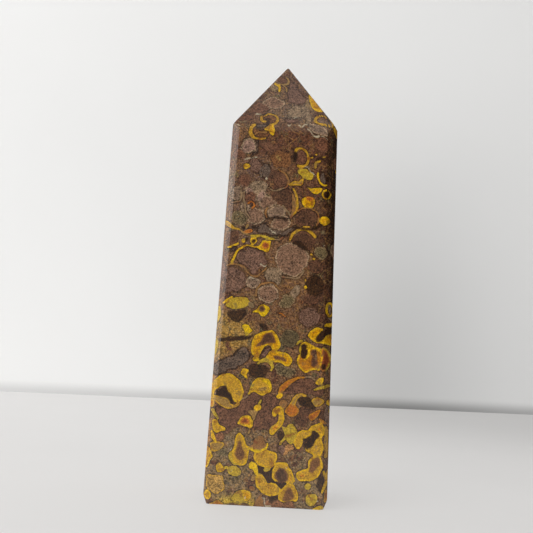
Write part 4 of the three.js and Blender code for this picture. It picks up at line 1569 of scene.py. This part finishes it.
def grain_group():
    """The fine pattern of the stone: packed grains that each have a brightness and a hue of their
    own, and thin bent threads, which are the borders of larger cells and the level lines of a soft
    noise."""
    nodes, given, out = new_group(
        "Stone grain",
        {"Place": "Vector", "Grains per mm": "Float"},
        {"Grain": "Float", "Hue": "Float", "Thread": "Float", "Speck": "Float"},
    )
    place, density = given["Place"], given["Grains per mm"]
    bent = nodes.bent(place, GRAIN_WARP, GRAIN_BEND)
    fine = nodes.noise(place, FINENESS)

    # Each grain's brightness and hue come from its cell's own random colour
    cells = nodes.cells(bent, density)
    own, rare, hue = nodes.add("ShaderNodeSeparateColor", {"Color": cells["Color"]}).outputs
    slope, drop = NOISE_BRIGHTNESS
    strong = nodes.minus(nodes.times(fine, slope), drop)
    grain = nodes.plus(nodes.times(nodes.minus(own, 0.5), OWN_BRIGHTNESS), strong)
    nodes.link(grain, out["Grain"])
    nodes.link(hue, out["Hue"])

    # Threads: the borders of larger cells, and the crests of a sine of a soft noise
    border = nodes.cells(bent, nodes.times(density, NET_SHARE), "DISTANCE_TO_EDGE")["Distance"]
    net = nodes.times(nodes.ease(border, 0.13, 0.02), nodes.ease(fine, 0.4, 0.6))
    wave = nodes.step("SINE", nodes.times(nodes.noise(place, CURLS), CURL_TURNS))
    curl = nodes.times(nodes.ease(wave, 0.5, 1.0), nodes.ease(fine, 0.32, 0.5))
    nodes.link(nodes.step("MAXIMUM", net, curl), out["Thread"])

    # Specks: the middles of a few grains
    middle = nodes.ease(cells["Distance"], 0.5, 0.25)
    nodes.link(nodes.times(nodes.ease(rare, 0.95, 0.99), middle), out["Speck"])
    return nodes.tree


def marking_group():
    """One layer of markings over what lies under it. The distance to the edge is made ragged, the
    inside is the rim colour and further in the body colour, and a thin dark line runs outside.
    Growth rings are thin paler and darker lines at even distances from the edge."""
    values = (
        "Edge", "Waver", "Grain", "Thread", "Blotch", "Rim width", "Softness", "Line strength",
        "Ring strength", "Contrast", "Strength",
    )
    inputs = dict.fromkeys(("Under", "Rim", "Body", "Line"), "Color") | dict.fromkeys(values, "Float")
    nodes, given, out = new_group("Jasper marking", inputs, {"Color": "Color", "Mask": "Float"})
    edge = nodes.plus(given["Edge"], given["Waver"])
    inside = nodes.ease(nodes.step("DIVIDE", edge, given["Softness"]), 1.6, -0.4)
    depth = nodes.step("DIVIDE", nodes.times(edge, -1.0), given["Rim width"])
    tone = nodes.mix(nodes.ease(depth, 0.45, 1.5), given["Rim"], given["Body"])

    # Its light: grains, blotches and threads, then the growth rings
    light = nodes.times(nodes.minus(given["Grain"], 0.5), given["Contrast"])
    light = nodes.plus(light, nodes.ease(given["Blotch"], 0.25, 0.75, 0.7, 1.25))
    light = nodes.plus(light, nodes.times(given["Thread"], given["Contrast"], STRAND_LIGHT))
    pushed = nodes.plus(edge, nodes.times(given["Blotch"], RING_PUSH))
    wave = nodes.step("SINE", nodes.times(pushed, RING_TURNS))
    rings = nodes.minus(nodes.ease(wave, 0.5, 1.0), nodes.ease(wave, -0.5, -1.0, 0.0, 0.5))
    shown = nodes.ease(given["Blotch"], 0.35, 0.6)
    rings = nodes.times(rings, shown, nodes.ease(edge, -2.2, -0.4, 0.3, 1.0), given["Ring strength"])
    light = nodes.step("MAXIMUM", nodes.plus(light, rings), LEAST_LIGHT)
    tone = nodes.mix(1.0, tone, nodes.grey(light), "MULTIPLY")

    # The dark line just outside, broken where the blotches are bright
    line = nodes.times(
        nodes.ease(edge, -0.02, 0.06),
        nodes.ease(edge, 0.36, 0.06),
        nodes.ease(given["Blotch"], 0.62, 0.38, 0.35, 1.0),
        given["Line strength"],
    )
    under = nodes.mix(line, given["Under"], given["Line"])
    nodes.link(nodes.mix(nodes.times(inside, given["Strength"]), under, tone), out["Color"])
    nodes.link(inside, out["Mask"])
    return nodes.tree


def opaque(tone):
    """A colour with full alpha."""
    return (*tone, 1.0)


def new_material(name):
    """A material with its Nodes and the inputs of its shader."""
    material = bpy.data.materials.new(name)
    material.use_nodes = True
    shader = material.node_tree.nodes["Principled BSDF"]
    return material, Nodes(material.node_tree), shader.inputs


def ground_tone(nodes, place, colours, grain, grains):
    """The ground of the stone: broad tones with mossy and red clouds, the faint rims of small
    ghost nodules, warm spots and dark gaps, and over them the light of grains and threads, each
    grain a little redder or bluer."""
    cloud = nodes.noise(place, CLOUD)
    mossy = nodes.ease(cloud, 0.56, 0.7)
    tint = nodes.mix(mossy, nodes.attribute("ground", "Color"), opaque(colours.moss))
    tint = nodes.mix(nodes.ease(cloud, 0.45, 0.32), tint, opaque(colours.red))

    bent = nodes.bent(place, GHOST_WARP, GHOST_BEND)
    border = nodes.cells(bent, GHOSTS_PER_MM, "DISTANCE_TO_EDGE")["Distance"]
    areas = nodes.ease(nodes.noise(place, GHOST_AREAS), 0.4, 0.6)
    halo = nodes.times(nodes.ease(border, 0.1, 0.02), areas, GHOST_STRENGTH)
    tint = nodes.mix(halo, tint, opaque(colours.tan))
    moat = nodes.times(nodes.ease(border, 0.08, 0.16), nodes.ease(border, 0.26, 0.18))
    tint = nodes.mix(nodes.times(moat, GHOST_STRENGTH), tint, opaque(colours.line))

    warm = nodes.ease(nodes.noise(place, WARM_SPOTS), 0.58, 0.7)
    coarse = nodes.ease(nodes.noise(place, COARSE_AREAS), 0.42, 0.6)
    tint = nodes.mix(nodes.times(warm, coarse, SPOT_STRENGTH), tint, opaque(colours.ochre))
    gaps = nodes.ease(nodes.noise(place, DARK_GAPS), 0.4, 0.32)
    tint = nodes.mix(nodes.times(gaps, coarse, SPOT_STRENGTH), tint, opaque(colours.line))

    light = nodes.plus(GROUND_LIGHT, nodes.times(grain, GRAIN_LIGHT))
    light = nodes.plus(light, nodes.times(grains["Thread"], THREAD_LIGHT))
    light = nodes.step("MAXIMUM", light, LEAST_GROUND_LIGHT)
    hue = nodes.minus(grains["Hue"], 0.5)
    red = nodes.times(light, nodes.plus(1.0, nodes.times(hue, RED_CHANGE)))
    blue = nodes.times(light, nodes.minus(1.0, nodes.times(hue, BLUE_CHANGE)))
    shade = nodes.add("ShaderNodeCombineColor", {0: red, 1: light, 2: blue}).outputs[0]
    return nodes.mix(1.0, tint, shade, "MULTIPLY")


def jasper_material(colours, sizes):
    """Polished fruit jasper: a grainy ground with small ghost nodules, and over it the layers of
    nodules, yellow markings, hearts and pale cracks, under one hard polish."""
    material, nodes, shader = new_material("fruit jasper")
    place = nodes.place()
    waver = nodes.minus(nodes.noise(place, WAVER), 0.5)
    fray = nodes.minus(nodes.noise(place, FRAY), 0.5)
    ragged = nodes.plus(nodes.times(waver, WAVER_SHARE), nodes.times(fray, FRAY_SHARE))
    inputs = {"Place": place, "Grains per mm": MM / sizes.grain_size}
    grains = nodes.add("ShaderNodeGroup", inputs, node_tree=grain_group()).outputs
    mottle = nodes.minus(nodes.noise(place, MOTTLE), 0.5)
    grain = nodes.plus(grains["Grain"], nodes.times(mottle, MOTTLE_SHARE))
    tone = ground_tone(nodes, place, colours, grain, grains)

    marking = marking_group()
    blotch = nodes.noise(place, BLOTCH)
    rims = {"nodule": NODULE_RIM, "fruit": sizes.rim_width / MM, "heart": HEART_RIM}
    for layer, rim in rims.items():
        inputs = {
            "Under": tone,
            "Edge": nodes.attribute(layer + "_edge"),
            "Rim": nodes.attribute(layer + "_rim", "Color"),
            "Body": nodes.attribute(layer + "_body", "Color"),
            "Line": opaque(colours.line),
            "Waver": nodes.times(ragged, RAGGED[layer]),
            "Grain": grain,
            "Thread": grains["Thread"],
            "Blotch": blotch,
            "Rim width": nodes.times(nodes.attribute(layer + "_width"), rim),
        }
        inputs |= dict(zip(LOOK_NAMES, LOOKS[layer]))
        laid = nodes.add("ShaderNodeGroup", inputs, node_tree=marking).outputs
        tone = laid["Color"]
        if layer == "fruit":
            patches = nodes.noise(place, FRUIT_PATCHES)
            green = nodes.times(nodes.ease(patches, 0.53, 0.66, 0.0, 0.6), laid["Mask"])
            brown = nodes.times(nodes.ease(patches, 0.46, 0.34, 0.0, 0.6), laid["Mask"])
            tone = nodes.mix(green, tone, opaque(colours.moss))
            tone = nodes.mix(brown, tone, opaque(colours.rust))
    # The crack layer draws pale cracks and the painted glints of the front
    crack = nodes.plus(nodes.attribute("crack_edge"), nodes.times(fray, CRACK_AND_GLINT_FRAY))
    pale = nodes.times(nodes.ease(crack, 0.03, -0.09), CRACK_AND_GLINT_STRENGTH)
    tone = nodes.mix(pale, tone, opaque(colours.cream))
    tone = nodes.mix(nodes.times(grains["Speck"], SPECK_STRENGTH), tone, opaque(colours.brick))
    nodes.link(tone, shader["Base Color"])

    change = nodes.times(nodes.noise(place, SHEEN), SHEEN_CHANGE)
    nodes.link(nodes.plus(sizes.polish - SHEEN_CHANGE / 2, change), shader["Roughness"])
    shader["IOR"].default_value = QUARTZ_IOR
    pits = nodes.times(nodes.ease(nodes.noise(place, PITS), 0.7, 0.8), PIT_HEIGHT)
    height = nodes.plus(nodes.times(nodes.noise(place, SWELL), SWELL_HEIGHT), pits)
    inputs = {"Strength": BUMP_STRENGTH, "Distance": MM, "Height": height}
    nodes.link(nodes.add("ShaderNodeBump", inputs).outputs[0], shader["Normal"])
    return material


# Stage

# Half the floor's width and the wall's height, in metres
HALF_STAGE = 0.9
WALL_HEIGHT = 0.9

# Each lamp's place, what it faces, and its width and height, in metres
KEY_LAMP = ((-0.6, -0.66, 0.52), (0, 0, 0.5), (0.7, 1.0))
LEFT_LAMP = ((-0.75, 0.0, 0.28), (0, 0, 0.05), (0.3, 0.5))

# The light painted on the stage fades from the first of these places to the second one, in millimetres to
# the right
FADE = (-150.0, 150.0)
# The middle and half width of the stone's shadow painted on the wall, in millimetres
SHADOW_MIDDLE = 67.0
SHADOW_REACH = 85.0

PAINT_ROUGHNESS = 0.8
SENSOR_WIDTH = 36.0
CLIPPING = (0.01, 10.0)
SEEN_LIGHT = 0.82


def wall_light(nodes, right, back, up):
    """How light the wall is painted at each place: less to the right and behind the stone's
    shoulder, where its soft shadow is painted, a little more high up, and least along the seam with
    the floor, where shade is painted."""
    dimmer = nodes.times(nodes.ease(right, *FADE), nodes.ease(up, 220.0, 0.0, 0.0, 0.09))
    light = nodes.minus(nodes.ease(up, 110.0, 230.0, 1.0, 1.045), dimmer)
    beside = nodes.step("ABSOLUTE", nodes.minus(right, SHADOW_MIDDLE))
    shadow = nodes.times(
        nodes.ease(beside, SHADOW_REACH, 0.0), nodes.ease(up, 190.0, 20.0, 0.0, 0.23)
    )
    # Painted shade along the seam with the floor
    seam = nodes.times(nodes.ease(up, 7.0, 0.0), nodes.ease(right, -150.0, 80.0, 0.24, 0.4))
    return nodes.minus(nodes.minus(light, shadow), seam)


def floor_light(nodes, right, back, up):
    """How light the floor is painted at each place: less to the right, most of all near the wall,
    and less far in front of the stone, out of view, so that the stone doesn't mirror a bright floor."""
    light = nodes.ease(right, *FADE, 1.0, 0.89)
    far = nodes.times(nodes.ease(back, 30.0, 250.0), nodes.ease(right, -20.0, 60.0, 0.0, 0.2))
    near = nodes.ease(back, -320.0, -70.0, 0.68, 1.0)
    return nodes.times(nodes.minus(light, far), near)


def plain_material(name, tone, glow, lightness):
    """A matt painted surface with a faint mottle, shaded by a function of the place on it: right,
    back and up in millimetres. Its glow makes the shadows on it faint."""
    material, nodes, shader = new_material(name)
    place = nodes.place()
    light = lightness(nodes, *nodes.add("ShaderNodeSeparateXYZ", {0: place}).outputs)
    mottle = nodes.ease(nodes.noise(place, PAINT_MOTTLE), 0.2, 0.8, 0.985, 1.0)
    shade = nodes.grey(nodes.times(light, mottle))
    tint = nodes.mix(1.0, opaque(tone), shade, "MULTIPLY")
    nodes.link(tint, shader["Base Color"])
    nodes.link(tint, shader["Emission Color"])
    shader["Emission Strength"].default_value = glow
    shader["Roughness"].default_value = PAINT_ROUGHNESS
    return material


def plane(name, corners, material):
    """A flat sheet of the stage through four corners."""
    mesh = bpy.data.meshes.new(name)
    mesh.from_pydata(corners, [], [(0, 1, 2, 3)])
    mesh.materials.append(material)
    sheet = bpy.data.objects.new(name, mesh)
    bpy.context.collection.objects.link(sheet)


def area_light(name, place, target, size, power):
    """A soft light, of a width and a height, that faces a target."""
    light = bpy.data.lights.new(name, "AREA")
    light.shape = "RECTANGLE"
    light.size, light.size_y = size
    light.energy = power
    lamp = bpy.data.objects.new(name, light)
    lamp.location = place
    way = Vector(target) - Vector(place)
    lamp.rotation_euler = way.to_track_quat("-Z", "Y").to_euler()
    bpy.context.collection.objects.link(lamp)


def studio_world(stage):
    """A room that is bright overhead and at the left, and dim at the right and in front of the
    stone, behind the camera. Seen straight it is one pale tone."""
    world = bpy.data.worlds.new("studio")
    world.use_nodes = True
    nodes = Nodes(world.node_tree)
    way = nodes.add("ShaderNodeTexCoord").outputs["Generated"]
    right, back, up = nodes.add("ShaderNodeSeparateXYZ", {0: way}).outputs
    around = nodes.ease(right, -0.6, 0.5, stage.light_left, stage.light_right)
    around = nodes.times(around, nodes.ease(back, -0.9, -0.2, 0.1, 1.0))
    behind = nodes.times(nodes.ease(back, -0.8, -0.95), nodes.ease(right, 0.05, -0.06))
    around = nodes.plus(around, nodes.times(behind, stage.light_front))
    overhead = nodes.ease(up, 0.2, 0.8)
    rest = nodes.times(nodes.minus(1.0, overhead), around)
    light = nodes.plus(nodes.times(overhead, stage.light_above), rest)
    direct = nodes.add("ShaderNodeLightPath").outputs["Is Camera Ray"]
    unseen = nodes.times(light, nodes.minus(1.0, direct))
    light = nodes.step("MAXIMUM", nodes.times(direct, SEEN_LIGHT), unseen)
    nodes.link(nodes.grey(light), world.node_tree.nodes["Background"].inputs["Color"])
    bpy.context.scene.world = world


def stand_camera(stage):
    """The camera of the photograph: in front of the stone and a little below its middle, looking
    up a little and turned a little to its left."""
    data = bpy.data.cameras.new("camera")
    data.lens = stage.focal_length
    data.sensor_width = SENSOR_WIDTH
    data.clip_start, data.clip_end = CLIPPING
    camera = bpy.data.objects.new("camera", data)
    place = Matrix.Translation((-stage.camera_offset, -stage.camera_distance, stage.camera_height))
    upright = Matrix.Rotation(np.pi / 2 + stage.camera_pitch, 4, "X")
    camera.matrix_world = place @ upright @ Matrix.Rotation(stage.camera_roll, 4, "Z")
    bpy.context.collection.objects.link(camera)
    bpy.context.scene.camera = camera


# Operators


class JASPER_OT_stone(bpy.types.Operator):
    """Make the polished stone in place of the plain solid"""

    bl_idname = "jasper.stone"
    bl_label = "Polished stone"

    def execute(self, context):
        sizes = context.scene.jasper_sizes
        colours = context.scene.jasper_colours
        facets = Facets(NODE)
        points, shape = stone_points(facets, sizes.edge_softness)
        mesh = mesh_of(STONE, points, *ring_faces(*shape))
        lay_flat(mesh, points, shape)
        random = np.random.default_rng(sizes.seed)
        wild = [wild_side(random, outward) for outward in ((1, 0), (0, 1), (-1, 0))]
        canvas = paint_stone(points, facets, [wild_base(random), *wild, FRONT_SIDE], colours)
        keep_canvas(mesh, canvas)
        mesh.materials.append(jasper_material(colours, sizes))
        stone = bpy.data.objects.new(STONE, mesh)
        context.collection.objects.link(stone)
        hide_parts(NODE)
        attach(stone, "root")
        return {"FINISHED"}


class JASPER_OT_stage(bpy.types.Operator):
    """Make the floor, the wall, the lights and the camera"""

    bl_idname = "jasper.stage"
    bl_label = "Stage"

    def execute(self, context):
        stage = context.scene.jasper_stage
        wide, high = HALF_STAGE, WALL_HEIGHT
        near = stage.wall_distance - wide * stage.wall_slant
        far = stage.wall_distance + wide * stage.wall_slant
        floor = [(-wide, -wide, 0), (wide, -wide, 0), (wide, far, 0), (-wide, near, 0)]
        wall = [(-wide, near, 0), (wide, far, 0), (wide, far, high), (-wide, near, high)]
        plane("floor", floor, plain_material("pale floor", stage.floor, stage.floor_glow, floor_light))
        plane("wall", wall, plain_material("pale wall", stage.wall, stage.wall_glow, wall_light))
        area_light("key light", *KEY_LAMP, stage.key_power)
        area_light("left light", *LEFT_LAMP, stage.left_power)
        studio_world(stage)
        stand_camera(stage)
        context.scene.view_settings.view_transform = "Standard"
        return {"FINISHED"}


class JASPER_PT_panel(bpy.types.Panel):
    """The stone's sizes and colours, and what makes it"""

    bl_idname = "JASPER_PT_panel"
    bl_label = "Fruit jasper tower"
    bl_space_type = "VIEW_3D"
    bl_region_type = "UI"
    bl_category = "Jasper"

    def draw(self, context):
        for group in ("jasper_sizes", "jasper_colours", "jasper_stage"):
            box = self.layout.box()
            held = getattr(context.scene, group)
            for name in held.__annotations__:
                box.prop(held, name)
        for maker in (JASPER_OT_stone, JASPER_OT_stage):
            self.layout.operator(maker.bl_idname)


CLASSES = (JasperColours, JasperSizes, StageSizes, JASPER_OT_stone, JASPER_OT_stage, JASPER_PT_panel)


def register():
    for made in CLASSES:
        bpy.utils.register_class(made)
    bpy.types.Scene.jasper_colours = bpy.props.PointerProperty(type=JasperColours)
    bpy.types.Scene.jasper_sizes = bpy.props.PointerProperty(type=JasperSizes)
    bpy.types.Scene.jasper_stage = bpy.props.PointerProperty(type=StageSizes)


def unregister():
    del bpy.types.Scene.jasper_stage
    del bpy.types.Scene.jasper_sizes
    del bpy.types.Scene.jasper_colours
    for made in reversed(CLASSES):
        bpy.utils.unregister_class(made)


def corners(box):
    """A box as plain lists of numbers."""
    return [[float(part) for part in corner] for corner in box]


def main():
    register()
    bpy.ops.jasper.stone()
    bpy.ops.jasper.stage()


if __name__ == "__main__":
    main()
